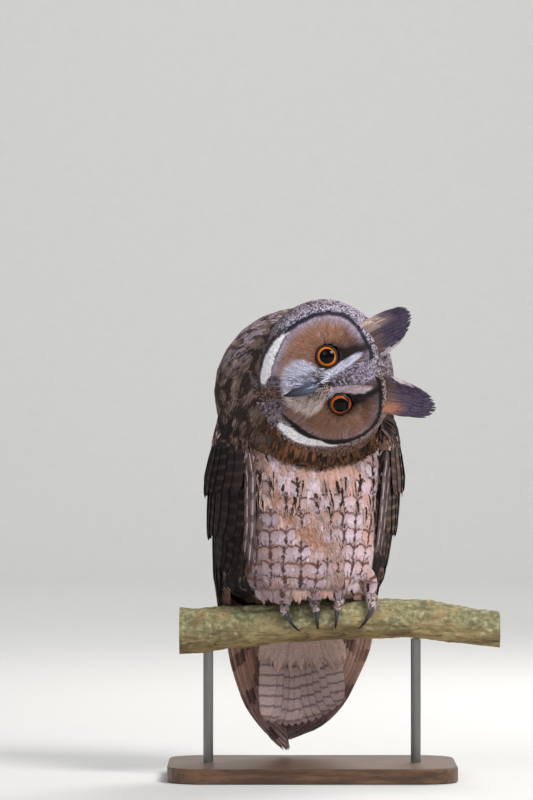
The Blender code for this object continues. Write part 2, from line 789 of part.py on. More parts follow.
def wing_point(sign, z, turn, lift):
    """A point of the folded wing's surface in the body's frame. turn 0 is the side, positive to the back."""
    cx, cy, rx, ry = smooth_row(WING_ROWS, z)
    return Vector((cx + sign * (rx + lift) * math.cos(turn), cy + (ry + lift) * math.sin(turn), z))


def shell(sign, low, high, rings, columns, inner, outer, name):
    """A closed patch of the wing's surface between two depths."""
    build = bmesh.new()
    layers = []
    for lift in (inner, outer):
        grid = []
        for i in range(rings):
            z = low + (high - low) * i / (rings - 1)
            front, back = smooth_row(WING_EDGE_ROWS, z)
            row = []
            for k in range(columns):
                turn = math.radians(front + (back - front) * k / (columns - 1))
                row.append(build.verts.new(wing_point(sign, z, turn, lift)))
            grid.append(row)
        layers.append(grid)
    below, above = layers
    for grid in layers:
        for i in range(rings - 1):
            for k in range(columns - 1):
                build.faces.new((grid[i][k], grid[i][k + 1], grid[i + 1][k + 1], grid[i + 1][k]))
    for i in range(rings - 1):
        for k in (0, columns - 1):
            build.faces.new((below[i][k], below[i + 1][k], above[i + 1][k], above[i][k]))
    for k in range(columns - 1):
        for i in (0, rings - 1):
            build.faces.new((below[i][k], below[i][k + 1], above[i][k + 1], above[i][k]))
    bmesh.ops.triangulate(build, faces=build.faces)
    return new_object(name, build, BODY, "feather_dark")


def wing_vane(sign, tier, index, draw):
    """One feather of a tier, laid along the wing, its front edge over the back edge of the one before."""
    count, root_z, tip_z, first, last, width, root_lift, tip_lift = tier
    place = first + (last - first) * index / (count - 1)
    tip_z += draw.uniform(-WING_VARIES[0], WING_VARIES[0])
    width *= draw.uniform(1 - WING_VARIES[1], 1 + WING_VARIES[1])

    def turn_at(z):
        front, back = smooth_row(WING_EDGE_ROWS, z)
        return math.radians(front + (back - front) * place)

    def spot(t):
        z = root_z + (tip_z - root_z) * t
        lift = root_lift + (tip_lift - root_lift) * t + WING_STACK * index * t
        point = wing_point(sign, z, turn_at(z), lift)
        point.x = sign * max(sign * point.x, width * outline_share(t) + GAP)
        return point

    def sides(t):
        z = root_z + (tip_z - root_z) * t
        turn = turn_at(z)
        after = wing_point(sign, z, turn + WING_TURN_STEP, 0.0)
        before = wing_point(sign, z, turn - WING_TURN_STEP, 0.0)
        side = (after - before).normalized()
        down = spot(min(t + WING_SHARE_STEP, 1.0)) - spot(max(t - WING_SHARE_STEP, 0.0))
        side = (side - down * (side.dot(down) / down.length_squared)).normalized()
        out = side.cross(down).normalized() * sign
        side = (side - out * WING_TILT).normalized()
        return side, side.cross(down).normalized()

    return new_object("wing_vane", vane(spot, sides, width, WING_STATIONS), BODY)


def straight_row(rows, place):
    """The columns of a table at a place, on straight lines from row to row."""
    table = np.array(rows, float)
    return [float(np.interp(place, table[:, 0], table[:, k])) for k in range(1, table.shape[1])]


def primary_vane(sign, index, draw):
    """One of the stacked outer flight feathers, bent at the same heights as its neighbours."""
    off = index - 0.5 * (PRIMARIES - 1)
    root_z = PRIMARY_PATH[-1][0]
    lowest, rise, place = PRIMARY_TIPS
    tip_z = lowest + rise * (index - place) ** 2 + draw.uniform(-PRIMARY_VARIES[0], PRIMARY_VARIES[0])
    if sign > 0:
        tip_z += LEFT_TIP_RISE

    def frame_at(z):
        x, y, turn, spacing = straight_row(PRIMARY_PATH, z)
        if sign > 0:
            spread = LEFT_SPREAD * smooth_step(LEFT_SPREAD_TOP - z, 0.0, LEFT_SPREAD_OVER)
            x += spread * smooth_step(z, *LEFT_SPREAD_ENDS)
        turn = math.radians(turn)
        side = Vector((-sign * math.sin(turn), math.cos(turn), 0.0))
        face = Vector((sign * math.cos(turn), math.sin(turn), 0.0))
        return Vector((sign * x, y, z)) + side * (off * spacing) - face * (off * PRIMARY_STEP), side, face

    def height(t):
        return root_z + (tip_z - root_z) * t

    bends = [(root_z - row[0]) / (root_z - tip_z) for row in PRIMARY_PATH if row[0] > tip_z]
    bends = [t for t in bends if t < PRIMARY_END_STATIONS[0] - PRIMARY_BEND_ROOM]
    stations = [*sorted(round(t, 4) for t in bends), *PRIMARY_END_STATIONS]
    blade = vane(
        lambda t: frame_at(height(t))[0],
        lambda t: frame_at(height(t))[1:],
        PRIMARY_WIDTH * draw.uniform(1 - PRIMARY_VARIES[1], 1 + PRIMARY_VARIES[1]),
        stations,
    )
    return new_object("primary_vane", blade, BODY)


def build_wing(name, sign):
    """The wing's flesh and its feathers, tier over tier."""
    draw = random.Random(SEED + sign)
    pieces = [shell(sign, *WING_CORE, "wing_core")]
    for index in range(PRIMARIES):
        pieces.append(primary_vane(sign, index, draw))
    for tier in WING_TIERS:
        for index in range(tier[0]):
            pieces.append(wing_vane(sign, tier, index, draw))
    return fuse(name, pieces, BODY, "feather_dark")


def build_tail():
    """The tail's vanes, the middle ones furthest back, and the coverts under them."""
    draw = random.Random(SEED + 5)
    root, tip = Vector(TAIL_ROOT), Vector(TAIL_TIP)
    side = Vector((1.0, 0.0, 0.0))
    along = tip - root
    face = along.cross(side).normalized()
    face = -face if face.y > 0 else face
    middle = root + face * (0.5 * TAIL_CORE[1] + TAIL_CORE_BACK) + along * TAIL_CORE_DOWN
    pieces = [ellipsoid("tail_core", middle, TAIL_CORE, 10, 6, BODY)]

    def add(x_root, x_tip, deep_root, deep_tip, end, width):
        start = root + side * x_root + face * deep_root
        stop = root + along * end + side * x_tip + face * deep_tip
        lean = (stop - start).cross(face).normalized()
        blade = vane(lambda t: start.lerp(stop, t), lambda t: (lean, face), width)
        pieces.append(new_object("tail_vane", blade, BODY))

    centre = 0.5 * (TAIL_FEATHERS - 1)
    for k in range(TAIL_FEATHERS):
        off = k - centre
        rank = abs(off) + 0.5 - (1.0 if off == -0.5 else 0.0)
        end = 1.0 - TAIL_ROUNDING * (off / centre) ** 2 / along.length
        end += TAIL_LEAN * (-0.5 - off / centre) / along.length
        end += draw.uniform(-TAIL_VARIES[0], TAIL_VARIES[0])
        width = TAIL_WIDTH * draw.uniform(1 - TAIL_VARIES[1], 1 + TAIL_VARIES[1])
        deep = rank * TAIL_STEP
        add(off * TAIL_ROOT_SPACING, off * TAIL_TIP_SPACING, deep, deep, end, width)
    reach = (TAIL_ROOT[2] - UNDERTAIL_TIP) / (TAIL_ROOT[2] - TAIL_TIP[2])
    for k in range(UNDERTAIL_FEATHERS):
        off = k - 0.5 * (UNDERTAIL_FEATHERS - 1)
        deep = [d + TAIL_STEP * abs(off + 0.25) for d in UNDERTAIL_DEPTH]
        varies = draw.uniform(-UNDERTAIL_VARIES, UNDERTAIL_VARIES)
        end = reach * (1.0 - UNDERTAIL_ROUNDING * abs(off) + varies)
        add(off * UNDERTAIL_SPACING[0], off * UNDERTAIL_SPACING[1], *deep, end, UNDERTAIL_WIDTH)
    return fuse("tail", pieces, BODY, "feather_buff")


def round_branch(x, turn, off):
    """A point off the branch's surface, turned from its top toward the front."""
    z, r = branch_at(x)
    reach = r + off
    return Vector((x, -reach * math.sin(turn), z + reach * math.cos(turn)))


def build_toe(x, offset, wrap):
    """A feathered toe that goes out from the palm and down round the branch."""
    path = []
    for k in range(len(TOE_SHAPE)):
        share = k / (len(TOE_SHAPE) - 1)
        place = x + offset * (TOE_START + (1 - TOE_START) * min(share / TOE_SPREAD_BY, 1.0))
        path.append(round_branch(place, wrap * share, TOE_OFF))
    return new_object("toe", tube(path, [TOE_RADIUS * share for share in TOE_SHAPE], TOE_SIDES))


def build_talon(name, x, wrap, lean):
    """A curved claw that goes on from a toe's end, round the branch to its bark."""
    onward = math.copysign(TALON_WRAP, wrap)
    begin = wrap + math.copysign(TALON_START, wrap)
    points, radii = [], []
    for k in range(TALON_POINTS):
        share = k / (TALON_POINTS - 1)
        off = TOE_OFF * (1 - share) + TALON_TIP_OFF * share
        off += TALON_BULGE * math.sin(math.pi * share)
        points.append(round_branch(x + lean * share**TALON_LEAN_BEND, begin + onward * share, off))
        radii.append(max(TALON_RADIUS * (1 - share) ** TALON_TAPER, TALON_POINT))
    return new_object(name, tube(points, radii, TALON_SIDES), slot="horn")


def build_foot(side_name, x):
    """A foot with two toes ahead and two behind, its talons, its leg, and the room they take."""
    pieces, claws = [], []
    groups = (("front", FRONT_TOES[side_name], FRONT_WRAP), ("back", BACK_TOES, BACK_WRAP))
    for group, toes, wrap in groups:
        for number, (offset, lean) in enumerate(toes):
            pieces.append(build_toe(x, offset, wrap))
            claws.append(build_talon(f"talon_{side_name}_{group}_{number + 1}", x + offset, wrap, lean))
    middle = round_branch(x, 0.0, TOE_OFF)
    pieces.append(ellipsoid("palm", middle, PALM_RADII, 10, 6))
    foot = fuse("foot_" + side_name, pieces, None, "feather_buff")
    low = middle + Vector((0.0, 0.0, PALM_RADII[2] + 3 * GAP))
    path = [low, low + Vector(LEG_BEND), Vector((x, LEG_TOP_Y, LEG_TOP))]
    leg = new_object("leg_" + side_name, tube(path, LEG_RADII, 10), slot="feather_buff")
    room = ellipsoid("room_" + side_name, middle, FOOT_ROOM, 16, 10)
    for owner in list(room.users_collection):
        owner.objects.unlink(room)
    CUTTERS.objects.link(room)
    room.hide_render = True
    room.display_type = "WIRE"
    return foot, leg, claws, room


clear_scene()
PARTS = new_collection("long_eared_owl")
CUTTERS = new_collection("cutters")
MATERIALS = {name: new_material(name) for name in COLOURS}
BODY = frame_empty("body_frame", BODY_PLACE, Matrix.Rotation(BODY_TURN, 3, "Z"))
HEAD_MATRIX = (
    Matrix.Rotation(HEAD_ROLL, 3, "Y")
    @ Matrix.Rotation(HEAD_TURN, 3, "Z")
    @ Matrix.Rotation(HEAD_NOD, 3, "X")
)
HEAD = frame_empty("head_frame", HEAD_PLACE, HEAD_MATRIX)

branch = build_branch()
rods = build_stand()
torso = build_torso()
neck = build_neck()
head = build_head()
eyes = [build_eye("eye_right", -1), build_eye("eye_left", 1)]
upper, lower, nostrils = build_bill()
tufts = [build_tuft("ear_tuft_right", -1), build_tuft("ear_tuft_left", 1)]
wings = [build_wing("wing_right", -1), build_wing("wing_left", 1)]
tail = build_tail()
feet, legs, talons, rooms = [], [], [], []
for side_name, x in FOOT_PLACES.items():
    foot, leg, claws, room = build_foot(side_name, x)
    feet.append(foot)
    legs.append(leg)
    talons += claws
    rooms.append(room)

cut_branch = grown_copy(branch)
cut_head = grown_copy(head)
cut_neck = grown_copy(neck)
cut_torso = grown_copy(torso)
cut_feet = [grown_copy(foot) for foot in feet]
cut_legs = [grown_copy(leg) for leg in legs]
cut_eyes = [grown_copy(eye) for eye in eyes]
cut_upper, cut_lower = grown_copy(upper), grown_copy(lower)
cut_wings = [grown_copy(wing) for wing in wings]

for rod in rods:
    carve(rod, [cut_branch])
carve(upper, nostrils)
carve(lower, [cut_upper])
carve(head, [*cut_eyes, cut_upper, cut_lower])
carve(neck, [cut_head])
carve(torso, [cut_neck, cut_head, *rooms, *cut_legs, cut_branch])
for tuft in tufts:
    carve(tuft, [cut_head])
carve(wings[0], [cut_torso, cut_neck, cut_head, cut_branch])
carve(wings[1], [cut_torso, cut_neck, cut_head, cut_branch, cut_wings[0]])
carve(tail, [cut_torso, *cut_wings, *cut_feet, cut_branch])
for cutter in list(CUTTERS.objects):
    bpy.data.objects.remove(cutter)
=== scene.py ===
"""The looks of a long-eared owl that stands on a cut branch with its head rolled to its left.

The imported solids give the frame. One skin stands for the flesh, and every feather on it is mesh.
"""

import json
import math

import bmesh
import bpy
import numpy as np
from mathutils import Matrix, Vector, noise
from mathutils.bvhtree import BVHTree

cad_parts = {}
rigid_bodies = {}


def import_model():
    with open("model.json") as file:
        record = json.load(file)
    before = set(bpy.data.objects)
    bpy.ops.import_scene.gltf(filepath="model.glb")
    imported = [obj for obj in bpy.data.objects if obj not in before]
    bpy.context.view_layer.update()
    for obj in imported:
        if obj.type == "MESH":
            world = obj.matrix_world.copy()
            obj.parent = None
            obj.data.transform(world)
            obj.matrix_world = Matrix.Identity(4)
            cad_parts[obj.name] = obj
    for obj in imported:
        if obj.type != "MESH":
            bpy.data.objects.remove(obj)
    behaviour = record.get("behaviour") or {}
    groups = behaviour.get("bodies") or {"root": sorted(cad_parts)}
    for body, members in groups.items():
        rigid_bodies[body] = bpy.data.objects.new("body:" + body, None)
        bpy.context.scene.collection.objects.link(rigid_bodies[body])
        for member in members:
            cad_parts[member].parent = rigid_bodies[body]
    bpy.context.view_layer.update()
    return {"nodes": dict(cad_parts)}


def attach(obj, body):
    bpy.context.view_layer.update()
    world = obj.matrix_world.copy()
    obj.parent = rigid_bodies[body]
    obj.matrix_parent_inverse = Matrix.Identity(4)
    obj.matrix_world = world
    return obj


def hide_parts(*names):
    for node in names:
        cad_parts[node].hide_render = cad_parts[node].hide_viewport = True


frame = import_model()
NODES = frame["nodes"]
RNG = np.random.default_rng(11)
MM = 0.001


# Places and sizes that the solids are built from.
BODY = Matrix.Translation((-0.007, 0.0, 0.0)) @ Matrix.Rotation(math.radians(14.0), 4, "Z")
HEAD_TURN = (
    Matrix.Rotation(math.radians(74.5), 3, "Y")
    @ Matrix.Rotation(math.radians(9.0), 3, "Z")
    @ Matrix.Rotation(math.radians(6.0), 3, "X")
)
HEAD_PLACE = Vector((0.0139, -0.0380, 0.3226))
HEAD = Matrix.Translation(HEAD_PLACE) @ HEAD_TURN.to_4x4()
# Half width, half depth, and heights above and below the head's middle.
HEAD_SIZE = (0.061, 0.045, 0.051, 0.058)
EYE_PLACE = (0.0182, -0.0308, 0.0050)
EYE_RADIUS = 0.0110
EYE_OUTWARD = math.radians(12.0)
LID_RADIUS = 0.0086
# x, height of the middle, and radius.
BRANCH_ROWS = (
    (-0.106, 0.1165, 0.0185),
    (-0.080, 0.1185, 0.0175),
    (-0.042, 0.1215, 0.0162),
    (0.014, 0.1260, 0.0163),
    (0.070, 0.1268, 0.0158),
    (0.110, 0.1235, 0.0150),
    (0.150, 0.1180, 0.0145),
)
# z, middle in x and y, half width and half depth of a folded wing's outline.
WING_ROWS = (
    (0.0120, 0.000, 0.0610, 0.010, 0.0060),
    (0.0350, 0.000, 0.0570, 0.024, 0.0100),
    (0.0600, 0.000, 0.0520, 0.036, 0.0150),
    (0.1000, 0.000, 0.0420, 0.049, 0.0240),
    (0.1300, 0.000, 0.0320, 0.058, 0.0340),
    (0.1600, 0.001, 0.0160, 0.067, 0.0500),
    (0.2000, 0.002, 0.0100, 0.073, 0.0600),
    (0.2400, 0.004, 0.0100, 0.078, 0.0580),
    (0.2700, 0.005, 0.0090, 0.077, 0.0550),
    (0.3000, 0.005, 0.0090, 0.069, 0.0500),
)
# z, and the turns in degrees at which a wing's front and back edges lie.
WING_EDGE_ROWS = (
    (0.020, 70.0, 95.0),
    (0.060, 20.0, 95.0),
    (0.100, 0.0, 88.0),
    (0.130, 0.0, 84.0),
    (0.143, -14.0, 82.0),
    (0.160, -38.0, 80.0),
    (0.200, -42.0, 75.0),
    (0.240, -44.0, 68.0),
    (0.280, -38.0, 55.0),
    (0.298, -20.0, 40.0),
)
# z, x, y, turn in degrees, and the spacing from one primary to the next.
PRIMARY_PATH = (
    (0.018, 0.0060, 0.0650, 76.0, 0.0018),
    (0.035, 0.0115, 0.0630, 72.0, 0.0026),
    (0.060, 0.0190, 0.0590, 66.0, 0.0042),
    (0.090, 0.0300, 0.0540, 58.0, 0.0051),
    (0.120, 0.0390, 0.0480, 44.0, 0.0061),
    (0.150, 0.0555, 0.0370, 25.0, 0.0068),
    (0.190, 0.0625, 0.0300, 15.0, 0.0072),
)
TAIL_ROOT = Vector((0.0045, 0.0420, 0.140))
TAIL_TIP = Vector((0.0120, 0.0519, 0.0358))
TUFT_ROOTS = ((0.0318, 0.0310), (0.0085, 0.0405))
TUFT_TIPS = ((0.0410, 0.0625), (0.0125, 0.0575))
LEFT_TUFT_LEAN = 0.0070
TUFT_PEAK = (0.0050, 0.0155)
TUFT_DEPTHS = (-0.0160, -0.0255)
NECK_CENTRE = (-0.0085, -0.0060, 0.3080)
NECK_RADII = (0.0700, 0.0470, 0.0690)
NECK_TIP = math.radians(-16.0)
BODY_AXIS = (0.002, 0.008)
FOOT_PLACES = {"right": -0.0104, "left": 0.0348}
SIDES = (("right", -1), ("left", 1))


def matrix_array(matrix):
    return np.array(matrix.to_3x3()), np.array(matrix.translation)


HEAD_R, HEAD_T = matrix_array(HEAD)
BODY_R, BODY_T = matrix_array(BODY)


def to_head(points):
    return (points - HEAD_T) @ HEAD_R


def from_head(points):
    return points @ HEAD_R.T + HEAD_T


def to_body(points):
    return (points - BODY_T) @ BODY_R


def from_body(points):
    return points @ BODY_R.T + BODY_T


def unit(v):
    return v / np.maximum(np.linalg.norm(v, axis=-1, keepdims=True), 1e-12)


def dot(a, b):
    return np.sum(a * b, axis=-1, keepdims=True)


def smooth(value, low, high):
    t = np.clip((value - low) / (high - low), 0.0, 1.0)
    return t * t * (3 - 2 * t)


def rows_at(rows, place):
    """The columns of a table at many places, on straight lines from row to row."""
    table = np.array(rows, float)
    return [np.interp(place, table[:, 0], table[:, k]) for k in range(1, table.shape[1])]


def rgb(red, green, blue):
    """A linear colour from the values that a picture would show, 0 to 255."""
    c = np.array((red, green, blue), float) / 255.0
    return np.where(c <= 0.04045, c / 12.92, ((c + 0.055) / 1.055) ** 2.4)


def mix(a, b, share):
    share = np.asarray(share, float)
    if share.ndim == 1:
        share = share[:, None]
    return a * (1 - share) + b * share


def cloud(points, size, seed=0.0):
    """Smooth noise, about 0 to 1, at each point, with features of a size in metres."""
    shift = Vector((seed * 3.7, seed * 1.3, seed * 2.1))
    flat = points.reshape(-1, 3) / size
    values = np.array([noise.noise(Vector(p) + shift) for p in flat])
    return np.clip(values * 0.9 + 0.5, 0.0, 1.0)


# The colours, as a picture in soft light would show them.
TAWNY = rgb(152, 110, 90)
TAWNY_DARK = rgb(96, 64, 52)
TAWNY_PALE = rgb(168, 142, 138)
LILAC = rgb(178, 166, 186)
BLACK = rgb(22, 17, 20)
DARK = rgb(48, 37, 36)
UMBER = rgb(84, 62, 54)
WHITE = rgb(255, 252, 255)
BROW_WHITE = rgb(220, 220, 240)
GRIZZLE = rgb(140, 124, 130)
BUFF = rgb(200, 152, 128)
CREAM = rgb(216, 198, 204)
OLIVE = rgb(128, 106, 86)
EAR_BLACK = rgb(84, 73, 94)
RUFF_COOL, RUFF_WARM = rgb(206, 196, 214), rgb(176, 146, 130)
NAPE_WARM = rgb(128, 90, 66)
CHEEK, CHEEK_DARK = rgb(116, 98, 88), rgb(58, 46, 40)
FRINGE, FRINGE_EDGE = rgb(168, 156, 178), rgb(172, 160, 176)
CHIN_COOL, CHIN_WARM = rgb(156, 140, 152), rgb(140, 112, 100)
LORES_WARM, BROW_WARM = rgb(224, 204, 198), rgb(206, 184, 194)
RIM_DARK = rgb(36, 31, 46)
BREAST = rgb(206, 186, 192)
NECK_PALE, NECK_DARK = rgb(116, 96, 84), rgb(52, 40, 35)
NECK_BUFF, NECK_LILAC = rgb(148, 128, 116), rgb(168, 150, 158)
COLLAR_PALE, COLLAR_DARK = rgb(112, 74, 50), rgb(50, 35, 27)
WING_DARK, WING_PALE = rgb(46, 36, 33), rgb(118, 98, 90)
FOOT_SKIN = rgb(206, 180, 148)


def curve_distance(x, z, points):
    """How far points of the face are from a line through a few places, and the share along it."""
    line = np.array(points, float)
    best = np.full(x.shape, 1e9)
    share = np.zeros(x.shape)
    count = len(line) - 1
    for i in range(count):
        ax, az = line[i]
        bx, bz = line[i + 1]
        length = (bx - ax) ** 2 + (bz - az) ** 2
        t = np.clip(((x - ax) * (bx - ax) + (z - az) * (bz - az)) / length, 0.0, 1.0)
        d = np.hypot(x - ax - t * (bx - ax), z - az - t * (bz - az))
        near = d < best
        best = np.where(near, d, best)
        share = np.where(near, (i + t) / count, share)
    return best, share


# The face's markings, in millimetres in the head's frame, for either side.
RIM_LINE = (
    (9, 38), (12, 38.5), (19, 37.5), (27, 35.5), (34, 33), (40.3, 29.8), (46, 24), (50.6, 14), (52, 3),
    (50.2, -8.5), (46.2, -19.5), (40.2, -26.8), (32, -33.2), (24, -38.6), (18, -42), (13, -45),
)
CRESCENTS = {
    -1: ((44, -20), (41.8, -26), (37.9, -31.2), (31.1, -37.8), (23.9, -42.9), (16.2, -47.3), (10.1, -51.3)),
    1: ((53.5, -8), (52.7, -12.8), (48.6, -19.8), (44.5, -29), (39.4, -35.9), (31.9, -42.2), (26.5, -46.9)),
}
CRESCENT_HALF = (0.5, 1.2, 2.5, 3.3, 3.8, 3.8, 2.4)
RIM_HALF = (1.7, 1.4, 1.2, 1.2, 1.3, 1.4, 1.5, 1.5, 1.3, 0.7, 0.0)
UNDER_LINE = ((47, -23), (44, -30), (37.5, -38.5), (29, -45.9), (20.5, -51), (11, -55), (4, -56))
BROW = ((3, -3), (6.5, 2), (8.6, 11), (11.6, 20.5), (13.2, 26), (14, 30.5))
BROW_HALF = (2.0, 2.6, 2.9, 3.0, 2.4, 1.2)
EYE_WEDGE = ((15.5, 8), (17.5, 14), (17.8, 21), (18.3, 28), (17.6, 36))
EYE_WEDGE_HALF = (7.0, 6.4, 4.2, 2.8, 2.6)
EYE_SEEN = np.array((20.4, 5.0))
BILL_SEEN = np.array((3.0, -4.0))
DISC_MIDDLE = np.array((22.0, 1.0))

# How far in mm the white lores reach from the bill, by their turn in degrees.
LORES_REACH = ((-100, 33), (-87, 33), (-69, 31), (-52, 28), (-37, 25), (-29, 21), (-10, 11), (10, 3))


def along(values, share):
    return np.interp(share, np.linspace(0.0, 1.0, len(values)), values)


def within(distance, half, inner, outer):
    """1 nearer than a half width and 0 beyond it, with a soft edge between two margins."""
    return 1 - smooth(distance, half - inner, half + outer)


def face_marks(h):
    """The shares of each marking at points of the head's frame."""
    x, z = h[:, 0] / MM, h[:, 2] / MM
    side = np.where(x < 0, -1.0, 1.0)
    ax = np.abs(x)
    wave = (cloud(h, 0.004, 3.0) - 0.5) * 1.6
    marks = {"x": x, "z": z, "ax": ax, "side": side, "eye": np.hypot(ax - EYE_SEEN[0], z - EYE_SEEN[1])}
    d, share = curve_distance(ax, z, RIM_LINE)
    marks["rim_distance"] = d
    half = along(RIM_HALF, share) * (1.0 + 0.7 * smooth(x, 0.0, 20.0) * smooth(-z, -10.0, 10.0))
    marks["rim"] = within(d + wave * 0.5, half, 0.5, 0.9) * smooth(half, 0.2, 0.7)
    marks["crescent"] = np.zeros(len(x))
    for one in (-1, 1):
        d, share = curve_distance(ax, z, CRESCENTS[one])
        white = within(d + wave * 0.5, along(CRESCENT_HALF, share), 0.5, 0.5)
        marks["crescent"] = np.where(side == one, white, marks["crescent"])
    d, share = curve_distance(ax, z, UNDER_LINE)
    marks["under"] = (1 - smooth(d + wave, 0.8, 2.4)) * (side < 0)
    d, share = curve_distance(ax, z, BROW)
    half = along(BROW_HALF, share) * (1.0 + 0.35 * (side > 0) * smooth(share, 0.3, 0.7))
    marks["brow"] = within(d + wave * 0.5, half, 1.0, 0.8)
    d, share = curve_distance(ax, z, EYE_WEDGE)
    half = along(EYE_WEDGE_HALF, share)
    marks["wedge"] = within(d + wave, half, 1.6, 2.2)
    marks["shade"] = within(d + wave, half, 0.0, 9.0)
    turn = np.degrees(np.arctan2(z - BILL_SEEN[1], np.maximum(ax - BILL_SEEN[0], -2.0)))
    reach = rows_at(LORES_REACH, turn)[0]
    from_bill = np.hypot(ax - BILL_SEEN[0], z - BILL_SEEN[1])
    marks["lores"] = within(from_bill + wave * 1.6, reach, 2.5, 2.0) * (turn < 12)
    return marks


def inside_disc(h):
    """1 in the two ovals of the facial disc, 0 outside."""
    x, z = h[:, 0] / MM, h[:, 2] / MM
    dx, dz = np.abs(x) - DISC_MIDDLE[0], z - DISC_MIDDLE[1]
    outline = np.array(RIM_LINE[1:-1]) - DISC_MIDDLE
    at = np.arctan2(outline[:, 1], outline[:, 0])
    far = np.hypot(outline[:, 0], outline[:, 1])
    order = np.argsort(at)
    reach = np.interp(np.arctan2(dz, dx), at[order], far[order], period=2 * math.pi)
    return within(np.hypot(dx, dz), reach, 0.8, 0.8)


def crown_colour(m, speck, patch, lower):
    """The tone outside the disc: a grizzled crown, the ruff's feathers, and the cheeks."""
    z, rim = m["z"], m["rim_distance"]
    tone = mix(GRIZZLE, UMBER, smooth(patch, 0.35, 0.75))
    tone = mix(tone, LILAC, 0.65 * smooth(speck, 0.54, 0.68))
    tone = mix(tone, BLACK, 0.75 * smooth(1 - speck, 0.56, 0.70))
    ruff = mix(mix(RUFF_COOL, RUFF_WARM, 0.75 * lower), BLACK, 0.92 * smooth(1 - speck, 0.46, 0.58))
    tone = mix(tone, ruff, 0.8 * (1 - smooth(rim, 3.5, 9.0)) * (1 - 0.7 * smooth(-z, 30.0, 42.0)))
    below = lower * smooth(rim, 4.0, 10.0) * smooth(m["ax"], 34.0, 46.0)
    tone = mix(tone, mix(NAPE_WARM, DARK, 0.8 * smooth(1 - speck, 0.50, 0.66)), 0.85 * below)
    beyond = (1 - lower) * smooth(rim, 7.5, 11.0) * (1 - smooth(z, -24.0, -8.0))
    return mix(tone, mix(CHEEK, CHEEK_DARK, smooth(patch, 0.40, 0.62)), beyond)


def disc_colour(m, patch, lower):
    """The tone of the facial disc: tawny, paler towards the rim and darker round the eye, with painted shade
    on its lower side.
    """
    rim = m["rim_distance"]
    tone = mix(TAWNY, TAWNY_DARK, smooth(m["z"] - 0.3 * m["ax"], 0.0, 16.0) * 0.7)
    tone = mix(tone, TAWNY_PALE, smooth(patch, 0.45, 0.9) * 0.4)
    tone = mix(tone, FRINGE, (0.65 - 0.40 * lower) * (1 - smooth(rim, 2.0, 10.0)))
    tone = mix(tone, FRINGE_EDGE, 0.65 * (1 - smooth(rim, 2.5, 5.0)) * (1 - lower))
    tone = mix(tone, TAWNY_DARK, 0.55 * (1 - smooth(m["eye"], 8.5, 14.0)))
    tone = mix(tone, DARK, 0.65 * m["shade"])
    # Painted shade: the whole disc darker on its lower side, the bird's left, away from the light above.
    return tone * (1 - 0.22 * lower)[:, None]


def face_colour(h):
    """The tone of the face and head at points of the head's frame."""
    m = face_marks(h)
    x, z, ax, eye = m["x"], m["z"], m["ax"], m["eye"]
    speck, patch = cloud(h, 0.0013, 1.0), cloud(h, 0.006, 2.0)
    lower = smooth(x, -8.0, 12.0)
    crown = crown_colour(m, speck, patch, lower)
    tone = mix(crown, disc_colour(m, patch, lower), inside_disc(h))
    middle = (1 - smooth(ax, 7.0, 12.0)) * smooth(z, -6.0, 2.0)
    bridge = mix(LILAC * 0.8, BLACK, 0.85 * smooth(1 - speck, 0.46, 0.62))
    tone = mix(tone, mix(bridge, crown, smooth(z, 34.0, 44.0)), middle)
    chin = mix(CHIN_COOL, CHIN_WARM, 1 - smooth(ax, 3.0, 8.0))
    chin = mix(chin, DARK, smooth(speck, 0.36, 0.50) * 0.92)
    tone = mix(tone, chin, (1 - smooth(ax, 12.0, 17.0)) * (1 - smooth(z, -38.0, -34.0)))
    white = mix(BROW_WHITE, LORES_WARM, smooth(x, -4.0, 8.0))
    white = mix(white, UMBER, 0.40 * smooth(1 - speck, 0.56, 0.72))
    tone = mix(tone, white, m["lores"])
    tone = mix(tone, BLACK, np.clip(m["wedge"], 0.0, 1.0) * (0.85 + 0.15 * (eye < 14)))
    tone = mix(tone, BLACK, 1 - smooth(eye, 7.9, 9.0))
    tone = mix(tone, mix(white, BROW_WARM, smooth(x, 0.0, 6.0)), m["brow"])
    tone = mix(tone, mix(RIM_DARK, BLACK, lower), 0.97 * m["rim"] * smooth(np.abs(z - 5) + ax, 20, 30))
    tone = mix(tone, DARK, m["under"] * 0.85)
    tone = mix(tone, WHITE, m["crescent"])
    bill_base = 1 - smooth(np.abs(x - 1.0 - 0.15 * z), 1.2, 2.6)
    tone = mix(tone, DARK, bill_base * smooth(z, -9.0, -6.0) * (1 - smooth(z, 3.0, 8.0)))
    return mix(crown, tone, smooth(-h[:, 1], 0.004, 0.016))


def rear_share(points):
    """0 on the body's front and sides, 1 on its back."""
    b = to_body(points)
    turn = np.degrees(np.arctan2(b[:, 0] - BODY_AXIS[0], -(b[:, 1] - BODY_AXIS[1])))
    return smooth(np.abs(turn), 80.0, 105.0)


def body_colour(points):
    """The tone and the mark tone of the soft feathers of breast, belly and back."""
    patch, fine, rear = cloud(points, 0.012, 5.0), cloud(points, 0.004, 6.0), rear_share(points)
    breast = mix(BREAST, BUFF, 0.75 * smooth(patch, 0.50, 0.76))
    breast = mix(breast, BUFF, 0.8 * tract(points, BUFF_TRACT))
    breast = mix(breast, UMBER, 0.35 * smooth(points[:, 2], 0.236, 0.262) * smooth(fine, 0.4, 0.6))
    return mix(breast, back_colour(patch, fine), rear), mix(mix(UMBER, DARK, fine), DARK, rear)


def back_colour(patch, fine):
    back = mix(OLIVE, BUFF, 0.7 * smooth(patch, 0.4, 0.75))
    return mix(back, GRIZZLE, 0.4 * smooth(fine, 0.5, 0.8))


